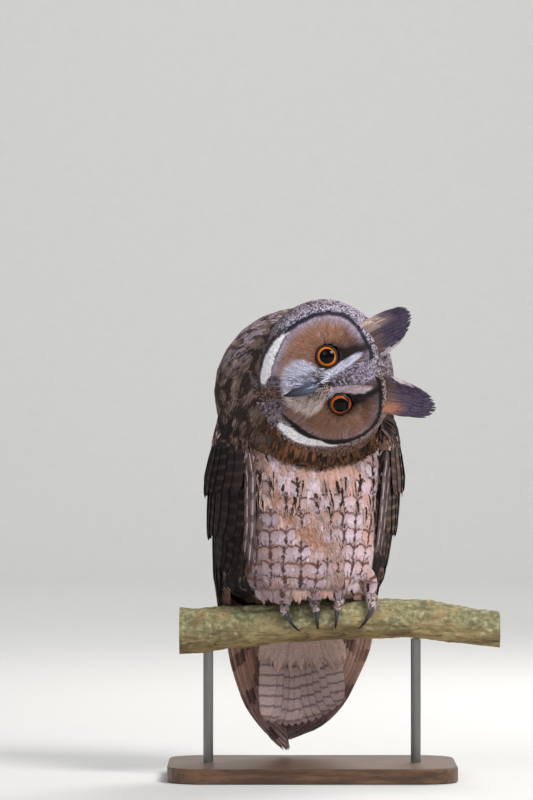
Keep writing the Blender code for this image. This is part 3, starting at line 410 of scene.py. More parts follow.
def neck_colour(points):
    """The tone and the mark tone of the collar, darker in front and warmer low down, with painted shade low
    on the bird's right side.
    """
    x, y, z = points.T
    fine = cloud(points, 0.004, 6.0)
    patch = cloud(points, 0.008, 5.0)
    neck = mix(NECK_PALE, NECK_DARK, smooth(patch, 0.34, 0.66))
    neck = mix(neck, NECK_BUFF, 0.45 * smooth(fine, 0.50, 0.74) * smooth(1 - patch, 0.35, 0.6))
    neck = mix(neck, NECK_LILAC, 0.80 * smooth(z, 0.320, 0.355) * smooth(fine, 0.30, 0.58))
    warm = mix(COLLAR_PALE, COLLAR_DARK, smooth(cloud(points, 0.0021, 14.0), 0.36, 0.62))
    low = smooth(x, -0.060, -0.020) * (1 - smooth(z, 0.275, 0.305)) * (y < 0.0)
    # Painted shade: the lower neck darker on the bird's right side.
    neck = neck * (1 - 0.30 * smooth(0.315 - z, 0.0, 0.030) * (x < 0.0))[:, None]
    back = back_colour(cloud(points, 0.012, 5.0), fine)
    return mix(mix(neck, warm, low), back, rear_share(points)), mix(DARK, BLACK, fine)


def wing_colour(points):
    """The tone and the mark tone of the wings' small coverts."""
    patch, fine = cloud(points, 0.012, 5.0), cloud(points, 0.004, 6.0)
    wing = mix(WING_DARK, WING_PALE, smooth(fine, 0.54, 0.76))
    wing = mix(wing, BUFF, 0.25 * smooth(patch, 0.62, 0.8))
    return mix(wing, BLACK, 0.8 * smooth(1 - patch, 0.46, 0.66)), mix(DARK, BLACK, 0.4 + 0.6 * fine)


# Two soft tracts of the breast, seen from the front: x and z in mm.
BUFF_TRACT = ((-36, 240), (-23, 222), (-8, 208), (3, 199))
DOWN_TRACT = ((-6, 229), (8, 208), (15, 190), (15.5, 168))


def tract(points, line):
    """How far points lie in a soft tract of the breast that follows a line seen from the front."""
    x, z = points[:, 0] / MM, points[:, 2] / MM
    d, share = curve_distance(x, z, line)
    wave = (cloud(points, 0.007, 12.0) - 0.5) * 5.0
    wide = 1.0 + 3.0 * smooth(share, 0.0, 0.6)
    return (1 - smooth(d + wave, wide, wide + 5.0)) * (points[:, 1] < 0.0)


def parting(points):
    """The place where down shows between the marked feathers of the breast."""
    return np.maximum(tract(points, BUFF_TRACT), tract(points, DOWN_TRACT))


# Shaders.
def material(name):
    made = bpy.data.materials.new(name)
    made.use_nodes = True
    tree = made.node_tree
    return made, tree, tree.nodes["Principled BSDF"]


def feed(tree, socket, value):
    """Give a socket a number, a colour or another node's output."""
    if isinstance(value, (int, float)):
        socket.default_value = value
    elif isinstance(value, (tuple, np.ndarray)):
        socket.default_value = (*[float(v) for v in value], 1.0)
    else:
        tree.links.new(value, socket)


def math_node(tree, operation, a, b=None, clamp=False):
    made = tree.nodes.new("ShaderNodeMath")
    made.operation = operation
    made.use_clamp = clamp
    feed(tree, made.inputs[0], a)
    if b is not None:
        feed(tree, made.inputs[1], b)
    return made.outputs[0]


def add(tree, a, b):
    return math_node(tree, "ADD", a, b)


def less(tree, a, b):
    return math_node(tree, "SUBTRACT", a, b)


def times(tree, a, b, clamp=False):
    return math_node(tree, "MULTIPLY", a, b, clamp)


def ramp_node(tree, value, low, high, out_low=0.0, out_high=1.0):
    made = tree.nodes.new("ShaderNodeMapRange")
    made.interpolation_type = "SMOOTHSTEP"
    for key, number in (("From Min", low), ("From Max", high), ("To Min", out_low), ("To Max", out_high)):
        made.inputs[key].default_value = number
    tree.links.new(value, made.inputs["Value"])
    return made.outputs[0]


def mix_node(tree, a, b, share):
    made = tree.nodes.new("ShaderNodeMix")
    made.data_type = "RGBA"
    for index, value in ((6, a), (7, b), (0, share)):
        feed(tree, made.inputs[index], value)
    return made.outputs[2]


def scale_node(tree, colour, shade):
    """A colour made lighter or darker by a factor."""
    made = tree.nodes.new("ShaderNodeVectorMath")
    made.operation = "SCALE"
    feed(tree, made.inputs[0], colour)
    feed(tree, made.inputs["Scale"], shade)
    return made.outputs[0]


def attribute(tree, name, output="Color"):
    made = tree.nodes.new("ShaderNodeAttribute")
    made.attribute_name = name
    return made.outputs[output]


def split(tree, vector):
    """The three parts of a vector."""
    made = tree.nodes.new("ShaderNodeSeparateXYZ")
    feed(tree, made.inputs[0], vector)
    return made.outputs


def own_place(tree):
    return tree.nodes.new("ShaderNodeTexCoord").outputs["Object"]


def mapped(tree, key, value):
    """The object's own coordinates, with a value for the mapping's scale or location."""
    made = tree.nodes.new("ShaderNodeMapping")
    made.inputs[key].default_value = value
    feed(tree, made.inputs["Vector"], own_place(tree))
    return made.outputs[0]


def noise_node(tree, scale, detail=3.0, rough=0.55, vector=None):
    made = tree.nodes.new("ShaderNodeTexNoise")
    for key, value in (("Scale", scale), ("Detail", detail), ("Roughness", rough)):
        made.inputs[key].default_value = value
    feed(tree, made.inputs["Vector"], vector or own_place(tree))
    return made.outputs[0]


def cell_node(tree, scale, vector=None):
    made = tree.nodes.new("ShaderNodeTexVoronoi")
    for key, value in (("Scale", scale), ("Detail", 0.0), ("Roughness", 0.5)):
        made.inputs[key].default_value = value
    feed(tree, made.inputs["Vector"], vector or own_place(tree))
    return made.outputs[0]


def finish_look(tree, shader, colour, rough, height=None, strength=0.0, distance=0.0):
    """Wire a shader's colour and roughness, and bumps of a height in metres where there are any."""
    feed(tree, shader.inputs["Base Color"], colour)
    feed(tree, shader.inputs["Roughness"], rough)
    if height is not None:
        bump = tree.nodes.new("ShaderNodeBump")
        bump.inputs["Strength"].default_value = strength
        bump.inputs["Distance"].default_value = distance
        feed(tree, bump.inputs["Height"], height)
        feed(tree, shader.inputs["Normal"], bump.outputs[0])


def wave_of(tree, value):
    """A sine with one wave for each whole step of a value."""
    return math_node(tree, "SINE", times(tree, value, 2 * math.pi))


def bar_pattern(tree, off, up, seed, wobble, bars, bar_count):
    """Bars across a vane, arched outward from the shaft and a little wider near it."""
    near = times(tree, off, 1.7, clamp=True)
    rise = times(tree, near, less(tree, 2.0, near))
    arch = times(tree, rise, ramp_node(tree, bar_count, 2.3, 5.5, 0.34, 0.05))
    phase = add(tree, seed, times(tree, wobble, 0.25))
    wave = wave_of(tree, add(tree, add(tree, times(tree, up, bar_count), arch), phase))
    few = ramp_node(tree, bar_count, 2.4, 6.0, 0.80, 0.35)
    least = add(tree, few, ramp_node(tree, bar_count, 9.0, 11.0, 0.0, 0.30))
    least = less(tree, least, ramp_node(tree, off, 0.0, 0.35, 0.18, 0.0))
    return times(tree, ramp_node(tree, less(tree, wave, least), 0.0, 0.16), bars, clamp=True)


def feather_material():
    """One shader for all feathers. Their attributes carry tone, mark tone, pattern and place on the vane."""
    made, tree, shader = material("feather")
    tone, mark = attribute(tree, "tone"), attribute(tree, "mark")
    across, up, seed = split(tree, attribute(tree, "lie", "Vector"))
    streak, bars, bar_count = split(tree, attribute(tree, "style", "Vector"))
    off = math_node(tree, "ABSOLUTE", across)
    grain = noise_node(tree, 900.0, 2.0)
    wobble = times(tree, less(tree, noise_node(tree, 260.0, 2.0), 0.5), 0.9)
    width = times(tree, streak, add(tree, 0.25, up))
    edge = less(tree, add(tree, off, wobble), width)
    shaft = times(tree, ramp_node(tree, edge, -0.08, 0.14, 1.0, 0.0), ramp_node(tree, streak, 0.01, 0.08))
    mask = math_node(tree, "MAXIMUM", shaft, bar_pattern(tree, off, up, seed, wobble, bars, bar_count))
    barb = wave_of(tree, times(tree, add(tree, up, times(tree, off, -0.35)), 60.0))
    shade = add(tree, ramp_node(tree, grain, 0.25, 0.75, 0.74, 1.18), times(tree, barb, 0.05))
    colour = scale_node(tree, mix_node(tree, tone, mark, mask), shade)
    finish_look(tree, shader, colour, ramp_node(tree, grain, 0.3, 0.7, 0.70, 0.92), add(tree, barb, grain),
                0.35, 0.0003)
    shader.inputs["Specular IOR Level"].default_value = 0.22
    return made


FEATHER = feather_material()


# Meshes.
def place_object(name, mesh):
    """An object of the model from a mesh."""
    made = bpy.data.objects.new(name, mesh)
    bpy.context.scene.collection.objects.link(made)
    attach(made, "root")
    return made


def new_piece(name, verts, faces, look):
    """An object from arrays of places and of faces with the same number of corners."""
    mesh = bpy.data.meshes.new(name)
    faces = np.asarray(faces, np.int32)
    count, corners = faces.shape
    mesh.vertices.add(len(verts))
    mesh.vertices.foreach_set("co", np.asarray(verts, np.float32).ravel())
    mesh.loops.add(count * corners)
    mesh.loops.foreach_set("vertex_index", faces.ravel())
    mesh.polygons.add(count)
    mesh.polygons.foreach_set("loop_start", np.arange(0, count * corners, corners, dtype=np.int32))
    mesh.polygons.foreach_set("use_smooth", np.full(count, True))
    mesh.update(calc_edges=True)
    mesh.materials.append(look)
    return place_object(name, mesh)


def piece_of(name, build, look):
    """An object from a bmesh, smooth, with one material."""
    mesh = bpy.data.meshes.new(name)
    build.to_mesh(mesh)
    build.free()
    mesh.shade_smooth()
    mesh.materials.append(look)
    return place_object(name, mesh)


def set_colour(mesh, name, values):
    layer = mesh.attributes.new(name, "FLOAT_COLOR", "POINT")
    full = np.ones((len(values), 4), np.float32)
    full[:, :3] = values
    layer.data.foreach_set("color", full.ravel())


def set_vector(mesh, name, values):
    layer = mesh.attributes.new(name, "FLOAT_VECTOR", "POINT")
    layer.data.foreach_set("vector", np.asarray(values, np.float32).ravel())


def set_share(mesh, values):
    layer = mesh.attributes.new("share", "FLOAT", "POINT")
    layer.data.foreach_set("value", np.asarray(values, np.float32))


def set_unwrap(mesh, places):
    layer = mesh.uv_layers.new(name="OFBake")
    layer.data.foreach_set("uv", places.astype(np.float32).ravel())


UNWRAP_HEAD_REACH = 1.25
UNWRAP_TOP = 0.39
UNWRAP_HALF = 0.46
UNWRAP_WIDE = 0.98
UNWRAP_FEATHER = 0.003
def unwrap(points):
    """Where points lie on an unwrap of the bird's own shape: the head by its turn and height, in one
    half, and the body round its own axis, in the other."""
    h, b = to_head(points), to_body(points)
    size = np.array((HEAD_SIZE[0], HEAD_SIZE[1], 0.5 * (HEAD_SIZE[2] + HEAD_SIZE[3])))
    head = np.linalg.norm(h / size, axis=1) < UNWRAP_HEAD_REACH
    hu = np.arctan2(h[:, 0], -h[:, 1]) / (2 * math.pi) + 0.5
    hv = np.arctan2(h[:, 2], np.hypot(h[:, 0], h[:, 1])) / math.pi + 0.5
    bu = np.arctan2(b[:, 0] - 0.002, -(b[:, 1] - 0.012)) / (2 * math.pi) + 0.5
    bv = np.clip(b[:, 2] / UNWRAP_TOP, 0.0, 1.0)
    u = np.where(head, hu, bu)
    v = np.where(head, 0.52 + UNWRAP_HALF * hv, 0.02 + UNWRAP_HALF * bv)
    return np.stack((0.01 + UNWRAP_WIDE * u, v), axis=1)


def grid_quads(rows, columns):
    """A sheet's grid of corner numbers, and its quads."""
    grid = np.arange(rows * columns).reshape(rows, columns)
    corners = (grid[:-1, :-1], grid[:-1, 1:], grid[1:, 1:], grid[1:, :-1])
    return grid, np.stack(corners, axis=-1).reshape(-1, 4)


def back_and_rim(grid, quads):
    """The quads of a sheet with a second sheet behind it, and a rim that joins the two."""
    border = np.concatenate((grid[0, :], grid[1:, -1], grid[-1, -2::-1], grid[-2:0:-1, 0]))
    after = np.roll(border, -1)
    rim = np.stack((after, border, border + grid.size, after + grid.size), axis=-1)
    return np.concatenate((quads, quads[:, ::-1] + grid.size, rim))


def weave(name, centre, side, face, half, outline, tone, mark, style, columns=2, camber=0.3, fringe=0.0,
          thick=0.0, roots=None, phase=None):
    """Feathers as one mesh. centre, side and face are arrays of feather, station and XYZ; half is each
    feather's half width and outline its share at each station."""
    count, stations = centre.shape[:2]
    u = np.linspace(-1.0, 1.0, columns + 1)
    s = np.linspace(0.0, 1.0, stations)
    half = np.broadcast_to(np.asarray(half, float), (count,))
    spread = half[:, None] * np.broadcast_to(outline, (count, stations))
    verts = (
        centre[:, :, None, :]
        + side[:, :, None, :] * (spread[:, :, None, None] * u[None, None, :, None])
        + face[:, :, None, :] * (spread[:, :, None, None] * camber * (1 - u[None, None, :, None] ** 2))
    )
    if fringe:
        ahead = centre[:, -1] - centre[:, -2]
        reach = RNG.uniform(-1.0, 0.9, (count, columns + 1)) * fringe
        verts += ahead[:, None, None, :] * (reach[:, None, :, None] * (s[None, :, None, None] ** 4))
    grid, quads = grid_quads(stations, columns + 1)
    layers = 1
    if thick:
        layers = 2
        verts = np.concatenate((verts, verts - face[:, :, None, :] * thick), axis=1)
        quads = back_and_rim(grid, quads)
    per = layers * grid.size
    faces = (quads[None] + (np.arange(count) * per)[:, None, None]).reshape(-1, 4)
    made = new_piece(name, verts.reshape(-1, 3), faces, FEATHER)
    mesh = made.data
    spot = np.zeros((count, layers * stations, columns + 1, 3))
    spot[..., 0] = u[None, None, :]
    spot[..., 1] = np.tile(s, layers)[None, :, None]
    seeds = RNG.uniform(0.0, 1.0, count) if phase is None else np.broadcast_to(phase, (count,))
    spot[..., 2] = seeds[:, None, None]
    set_vector(mesh, "lie", spot.reshape(-1, 3))
    layers_of = (("tone", tone, set_colour), ("mark", mark, set_colour), ("style", style, set_vector))
    for key, values, setter in layers_of:
        values = np.broadcast_to(values, (count, 3)) if np.ndim(values) < 3 else values
        if values.ndim == 2:
            full = np.repeat(values, per, axis=0)
        else:
            full = np.repeat(np.tile(values, (1, layers, 1)), columns + 1, axis=1).reshape(-1, 3)
        setter(mesh, key, full)
    place = unwrap(centre[:, 0] if roots is None else roots)
    on_vane = spot[..., :2].reshape(count, per, 2) * (0.5, 1.0) + (0.0, -0.5)
    corner = place[:, None, :] + on_vane * UNWRAP_FEATHER
    set_unwrap(mesh, corner.reshape(-1, 2)[faces.ravel()])
    return made


# Half widths along a feather, as shares of its widest place.
BODY_OUTLINE = ((0.0, 0.30), (0.25, 0.78), (0.5, 1.0), (0.75, 0.92), (0.9, 0.66), (1.0, 0.30))
SCALE_OUTLINE = ((0.0, 0.30), (0.25, 0.80), (0.5, 1.0), (0.80, 0.98), (0.92, 0.80), (0.98, 0.52), (1.0, 0.30))
HAIR_OUTLINE = ((0.0, 0.8), (0.4, 1.0), (0.75, 0.7), (1.0, 0.12))
FLIGHT_OUTLINE = (
    (0.0, 0.45), (0.25, 0.85), (0.55, 1.0), (0.80, 0.95), (0.92, 0.74), (0.975, 0.46), (1.0, 0.12),
)
TUFT_OUTLINE = ((0.0, 0.7), (0.4, 1.0), (0.75, 0.9), (0.92, 0.7), (1.0, 0.3))


def outline_at(count, table=FLIGHT_OUTLINE):
    return rows_at(table, np.linspace(0.0, 1.0, count))[0]


def nearest_tips(surface, aim, up, length):
    """The places on a surface nearest to where feathers aim, and the directions out of it there."""
    tip, tip_up = np.empty_like(aim), np.empty_like(aim)
    for i, point in enumerate(aim):
        spot, normal, _, _ = surface.find_nearest(Vector(point))
        tip[i] = spot
        tip_up[i] = normal
    far = np.linalg.norm(tip - aim, axis=1, keepdims=True)
    ok = far < 0.6 * length[:, None]
    return np.where(ok, tip, aim), unit(np.where(ok, tip_up, up))


def lay(name, root, way, up, length, half, surface, tone, mark, style, sink=0.0004, rise=0.0015, rows=4,
        columns=4, camber=0.3, fringe=0.5, lift=0.25, outline=BODY_OUTLINE, paint=None, phase=None):
    """Feathers rooted on a surface, each bent so that its tip stands a little off the surface there."""
    way = unit(way - up * dot(way, up))
    tip, tip_up = nearest_tips(surface, root + way * length[:, None], up, length)
    rise = np.broadcast_to(np.asarray(rise, float), length.shape)[:, None]
    start = root - up * sink
    stop = tip + tip_up * rise
    go = (unit(way + up * lift)) * length[:, None]
    end = stop - start
    end = unit(end - tip_up * dot(end, tip_up)) * length[:, None]
    s = np.linspace(0.0, 1.0, rows + 1)[None, :, None]
    centre = (
        start[:, None, :] * (2 * s**3 - 3 * s**2 + 1)
        + go[:, None, :] * (s**3 - 2 * s**2 + s)
        + stop[:, None, :] * (-2 * s**3 + 3 * s**2)
        + end[:, None, :] * (s**3 - s**2)
    )
    ahead = np.gradient(centre, axis=1)
    above = unit(up[:, None, :] * (1 - s) + tip_up[:, None, :] * s)
    side = unit(np.cross(ahead, above))
    face = unit(np.cross(side, ahead))
    if paint is not None:
        tone = paint(to_head(centre.reshape(-1, 3))).reshape(centre.shape) * tone[:, None, :]
    return weave(name, centre, side, face, half, outline_at(rows + 1, outline), tone, mark, style, columns,
                 camber, fringe, roots=root, phase=phase)


# The skin: the flesh nodes and the wings' own flesh, made one surface and drawn in under the feathers.
def wing_surface(sign, z, share, lift):
    """Places on the folded wing's surface, with share 0 at its front edge and 1 at its back edge."""
    cx, cy, rx, ry = rows_at(WING_ROWS, z)
    front, back = rows_at(WING_EDGE_ROWS, z)
    turn = np.radians(front + (back - front) * share)
    x = cx + sign * (rx + lift) * np.cos(turn)
    y = cy + (ry + lift) * np.sin(turn)
    return from_body(np.stack((x, y, np.broadcast_to(z, np.shape(x))), axis=-1))


FLESH = ("torso", "neck", "head", "leg_left", "leg_right", "foot_left", "foot_right")
WING_FLESH_HEIGHTS = (0.150, 0.293)
WING_FLESH_DEPTHS = (-0.011, -0.0012)
WING_FLESH_GRID = (24, 20)


def add_wing_flesh(build, sign):
    """A slab under a folded wing's surface, between two depths."""
    tall, wide = WING_FLESH_GRID
    z = np.broadcast_to(np.linspace(*WING_FLESH_HEIGHTS, tall)[:, None], WING_FLESH_GRID)
    share = np.broadcast_to(np.linspace(0.0, 1.0, wide)[None, :], WING_FLESH_GRID)
    low, high = (
        [[build.verts.new(p) for p in row] for row in wing_surface(sign, z, share, depth)]
        for depth in WING_FLESH_DEPTHS
    )
    for i in range(tall - 1):
        for k in range(wide - 1):
            for g, order in ((low, 1), (high, -1)):
                loop = [g[i][k], g[i][k + 1], g[i + 1][k + 1], g[i + 1][k]]
                build.faces.new(loop[::order])
    for i in range(tall - 1):
        for k in (0, wide - 1):
            build.faces.new((low[i][k], low[i + 1][k], high[i + 1][k], high[i][k]))
    for k in range(wide - 1):
        for i in (0, tall - 1):
            build.faces.new((low[i][k], low[i][k + 1], high[i][k + 1], high[i][k]))


def skin_parts():
    build = bmesh.new()
    for name in FLESH:
        build.from_mesh(NODES[name].data)
    for sign in (-1, 1):
        add_wing_flesh(build, sign)
    bmesh.ops.recalc_face_normals(build, faces=build.faces)
    mesh = bpy.data.meshes.new("skin_start")
    build.to_mesh(mesh)
    build.free()
    return mesh


def mesh_arrays(mesh):
    verts = np.empty(len(mesh.vertices) * 3)
    mesh.vertices.foreach_get("co", verts)
    normals = np.empty(len(mesh.vertices) * 3)
    mesh.vertices.foreach_get("normal", normals)
    mesh.calc_loop_triangles()
    tris = np.empty(len(mesh.loop_triangles) * 3, np.int32)
    mesh.loop_triangles.foreach_get("vertices", tris)
    return verts.reshape(-1, 3), normals.reshape(-1, 3), tris.reshape(-1, 3)


SKIN_VOXEL = 0.0019
SKIN_DEPTH, FACE_DEPTH = 0.0020, 0.0009


def make_skin():
    """The flesh as one even surface, drawn in by the depth of the feathers on it."""
    start = bpy.data.objects.new("skin_start", skin_parts())
    bpy.context.scene.collection.objects.link(start)
    remesh = start.modifiers.new("remesh", "REMESH")
    remesh.mode = "VOXEL"
    remesh.voxel_size = SKIN_VOXEL
    relax = start.modifiers.new("relax", "SMOOTH")
    relax.iterations = 3
    relax.factor = 0.5
    bpy.context.view_layer.update()
    ready = start.evaluated_get(bpy.context.evaluated_depsgraph_get())
    mesh = bpy.data.meshes.new_from_object(ready)
    bpy.data.objects.remove(start)
    verts, normals, _ = mesh_arrays(mesh)
    h = to_head(verts)
    face = smooth(-h[:, 1], 0.010, 0.024) * (np.abs(h[:, 0]) < 0.056) * (np.abs(h[:, 2]) < 0.056)
    low = smooth(0.1485 - verts[:, 2], 0.0, 0.006)
    depth = SKIN_DEPTH * (1 - face) * (1 - 0.75 * low) + FACE_DEPTH * face
    verts = verts - normals * depth[:, None]
    mesh.vertices.foreach_set("co", verts.astype(np.float32).ravel())
    mesh.update()
    made = place_object("skin", mesh)
    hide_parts("torso", "neck", "head", "leg_left", "leg_right", "foot_left", "foot_right")
    return made


SKIN = make_skin()
SKIN_VERTS, SKIN_NORMALS, SKIN_TRIS = mesh_arrays(SKIN.data)
SURFACE = BVHTree.FromPolygons(SKIN_VERTS.tolist(), SKIN_TRIS.tolist())


def in_head(points, grow=1.10):
    h = to_head(points)
    high = np.where(h[:, 2] > 0, HEAD_SIZE[2], HEAD_SIZE[3])
    return (h[:, 0] / HEAD_SIZE[0]) ** 2 + (h[:, 1] / HEAD_SIZE[1]) ** 2 + (h[:, 2] / high) ** 2 < grow**2


def in_neck(points):
    """Whether points lie on the collar of the neck."""
    turn = np.array(Matrix.Rotation(NECK_TIP, 3, "X"))
    local = (points - np.array(NECK_CENTRE)) @ turn / np.array(NECK_RADII)
    return np.linalg.norm(local, axis=1) < 1.035


def in_foot(points):
    return (points[:, 2] < 0.1555) & (np.hypot(points[:, 1], points[:, 2] - 0.1245) < 0.0295) & (
        np.abs(points[:, 0] - 0.012) < 0.055
    )


def in_wing(points):
    """Whether points lie on a folded wing's flesh."""
    b = to_body(points)
    cx, cy, rx, ry = rows_at(WING_ROWS, b[:, 2])
    front, back = rows_at(WING_EDGE_ROWS, b[:, 2])
    sign = np.where(b[:, 0] > cx, 1.0, -1.0)
    turn = np.degrees(np.arctan2((b[:, 1] - cy) / ry, sign * (b[:, 0] - cx) / rx))
    reach = np.hypot((b[:, 0] - cx) / (rx - 0.0035), (b[:, 1] - cy) / (ry - 0.0035))
    return (turn > front) & (turn < back) & (reach > 0.94) & (b[:, 2] > 0.156) & (b[:, 2] < 0.296)


def skin_material():
    made, tree, shader = material("skin")
    grain = noise_node(tree, 700.0, 4.0)
    colour = scale_node(tree, attribute(tree, "tone"), ramp_node(tree, grain, 0.3, 0.7, 0.6, 1.15))
    finish_look(tree, shader, colour, ramp_node(tree, grain, 0.3, 0.7, 0.75, 0.95), grain, 0.6, 0.0006)
    return made


def skin_tone():
    """The skin's tone: the feathers' own, darkened as painted shade where it shows between them."""
    # Painted shade: each region's tone scaled down for the gaps between feathers.
    tone = body_colour(SKIN_VERTS)[0] * 0.55
    wing = in_wing(SKIN_VERTS)
    neck = in_neck(SKIN_VERTS) & ~wing
    tone = np.where(wing[:, None], wing_colour(SKIN_VERTS)[0] * 0.6, tone)
    tone = np.where(neck[:, None], neck_colour(SKIN_VERTS)[0] * 0.7, tone)
    tone = np.where(in_foot(SKIN_VERTS)[:, None], FOOT_SKIN * 0.8, tone)
    return np.where(in_head(SKIN_VERTS, 1.09)[:, None], face_colour(to_head(SKIN_VERTS)) * 0.8, tone)


def paint_skin():
    mesh = SKIN.data
    set_colour(mesh, "tone", skin_tone())
    mesh.materials.clear()
    mesh.materials.append(skin_material())
    corners = np.empty(len(mesh.loops), np.int32)
    mesh.loops.foreach_get("vertex_index", corners)
    starts = np.empty(len(mesh.polygons), np.int32)
    mesh.polygons.foreach_get("loop_start", starts)
    place = unwrap(SKIN_VERTS)[corners]
    sizes = np.diff(np.append(starts, len(corners)))
    first = np.repeat(place[starts], sizes, axis=0)
    place[:, 0] -= np.round((place[:, 0] - first[:, 0]) / UNWRAP_WIDE) * UNWRAP_WIDE
    place[:, 1] = np.where(np.abs(place[:, 1] - first[:, 1]) > 0.2, first[:, 1], place[:, 1])
    set_unwrap(mesh, place)
    mesh.polygons.foreach_set("use_smooth", np.full(len(mesh.polygons), True))


paint_skin()


def scatter(spacing, wanted, tries=7):
    """Even random places on the skin, where wanted(points) is true, with the skin's direction outward."""
    a, b, c = (SKIN_VERTS[SKIN_TRIS[:, k]] for k in range(3))
    keep = wanted((a + b + c) / 3)
    tris = SKIN_TRIS[keep]
    a, b, c = (SKIN_VERTS[tris[:, k]] for k in range(3))
    area = 0.5 * np.linalg.norm(np.cross(b - a, c - a), axis=1)
    count = int(area.sum() / spacing**2 * tries)
    pick = RNG.choice(len(tris), count, p=area / area.sum())
    u, v = RNG.random((2, count))
    flip = u + v > 1
    u, v = np.where(flip, 1 - u, u), np.where(flip, 1 - v, v)
    w = 1 - u - v
    points = a[pick] * w[:, None] + b[pick] * u[:, None] + c[pick] * v[:, None]
    corner = [SKIN_NORMALS[tris[pick, k]] for k in range(3)]
    normals = unit(corner[0] * w[:, None] + corner[1] * u[:, None] + corner[2] * v[:, None])
    cells = np.floor(points / spacing + RNG.random(3)).astype(np.int64)
    _, first = np.unique(cells, axis=0, return_index=True)
    return points[first], normals[first]


def jitter(way, up, amount):
    """Directions each turned about the surface's own by a random amount in radians."""
    turn = RNG.normal(0.0, amount, len(way))[:, None]
    return way * np.cos(turn) + np.cross(up, way) * np.sin(turn)


def style(count, streak=0.0, bars=0.0, number=3.0):
    """The pattern of each feather: how wide its shaft streak is, how strong its bars are and how many."""
    made = np.zeros((count, 3))
    made[:, 0], made[:, 1], made[:, 2] = streak, bars, number
    return made


def vary(tone, amount=0.12):
    """Tones made lighter or darker at random, feather by feather."""
    return tone * RNG.normal(1.0, amount, (len(tone), 1)).clip(0.6, 1.4)


def lean(way, up, amount):
    """Directions laid flat on the surface, each then turned there by a random amount."""
    return jitter(unit(way - up * dot(way, up)), up, amount)


def down_way(root, up, amount):
    return lean(np.tile((0.0, 0.0, -1.0), (len(root), 1)), up, amount)


def between(low, high, root):
    """A random number for each root."""
    return RNG.uniform(low, high, len(root))


def chance(share, root):
    """Whether each root is one of a random share."""
    return RNG.random(len(root)) < share


def plain_shade(root, amount):
    """Shades of grey near 1 that vary from feather to feather."""
    return vary(np.ones((len(root), 3)), amount)


# Where the belly's feathers end. Over the top of each toe they end higher, by a soft notch.
TOE_TOPS = (-0.0235, 0.0020, 0.0195, 0.0480)
BELLY_EDGE = 0.1410
TOE_NOTCH = 0.0115
TOE_NOTCH_HALF = 0.0058


def short_of_branch(root, way, length):
    """Lengths cut so that no tip hangs past the belly's lower edge."""
    drop = np.maximum(-way[:, 2], 0.05)
    lowest = np.full(len(root), BELLY_EDGE)
    for x in TOE_TOPS:
        lowest += TOE_NOTCH * np.exp(-(((root[:, 0] - x) / TOE_NOTCH_HALF) ** 2))
    return np.clip(np.minimum(length, (root[:, 2] - lowest) / drop), 0.003, None)


def on_body(p):
    """Whether places carry the body's own feathers, not those of head, feet, wings or collar."""
    flank = (p[:, 2] < 0.170) & (np.abs(to_body(p)[:, 0]) > 0.0545)
    neck = in_neck(p) & over_collar(p, 0.004)
    return ~in_head(p, 1.06) & ~in_foot(p) & ~in_wing(p) & ~neck & (p[:, 2] > 0.1440) & ~flank


def hit(start, way):
    """Where a ray meets the skin, and the direction out of it there."""
    spot, normal, _, _ = SURFACE.ray_cast(Vector(start), Vector(way))
    return (np.array(spot), np.array(normal)) if spot else (None, None)


def column_place(turn, z):
    """Where a column of side feathers lies on the skin at a height; columns draw together at the feet."""
    low = np.clip((0.250 - z) / 0.105, 0.0, 1.0)
    angle = math.radians(turn * (1 - 0.30 * low**1.6) + 7.0 * low**1.5)
    axis = from_body(np.array((0.002, 0.010, z)))
    out = BODY_R @ np.array((math.sin(angle), -math.cos(angle), 0.0))
    return hit(axis + 0.15 * out, -out)


def front_place(x, z):
    return hit((x, -0.3, z), (0.0, 1.0, 0.0))


# Where the columns of marked feathers lie, seen from the front: x in mm at each of three heights.
COLUMN_HEIGHTS = (0.160, 0.205, 0.250)
COLUMNS = (
    (-55.0, -54.5, -53.0), (-44.0, -43.5, -44.5), (-33.0, -32.0, -33.5), (-22.5, -20.5, -23.0),
    (-9.0, -9.0, -12.0), (2.0, 4.0, 0.0), (11.0, 14.0, 12.0), (19.0, 23.0, 25.0), (27.5, 34.0, 36.5),
    (37.0, 45.0, 48.0), (50.0, 56.0, 59.0),
)
SIDE_COLUMNS = (-101.0, -88.0, 82.0, 94.0, 106.0)
BAR_PITCH = 0.0128
COLUMN_STEP = 0.012
COLUMN_TOP, COLUMN_END = 0.290, 0.1600
SIDE_TOP, SIDE_END, SIDE_HALF = 0.262, 0.1850, 0.0074


def column_x(column, z):
    return MM * np.interp(z, COLUMN_HEIGHTS, column)


def breast_columns():
    """Roots, outward and downward directions, and half widths of the marked feathers, column by column."""
    rows = []

    def put(place, a, b, z, half):
        here, normal = place(a, z)
        below, _ = place(b, z - COLUMN_STEP)
        if here is not None and below is not None:
            rows.append((here, normal, below - here, half))

    for index, column in enumerate(COLUMNS):
        first, last = max(index - 1, 0), min(index + 1, len(COLUMNS) - 1)
        start = COLUMN_TOP + RNG.uniform(-0.0016, 0.0016)
        for z in np.arange(start, COLUMN_END, -BAR_PITCH):
            at = z + RNG.uniform(-0.0008, 0.0008)
            wander = 0.0009 * math.sin(z * 90 + 2.0 * index)
            gap = (column_x(COLUMNS[last], z) - column_x(COLUMNS[first], z)) / (last - first)
            x = column_x(column, at) + wander
            put(front_place, x, column_x(column, at - COLUMN_STEP) + wander, at, 0.66 * gap)
    for turn in SIDE_COLUMNS:
        start = SIDE_TOP + RNG.uniform(-0.004, 0.004)
        for z in np.arange(start, SIDE_END, -BAR_PITCH):
            put(column_place, turn, turn, z + RNG.uniform(-0.0012, 0.0012), SIDE_HALF)
    root, up, way, half = (np.array(part) for part in zip(*rows))
    return root, up, unit(way), half


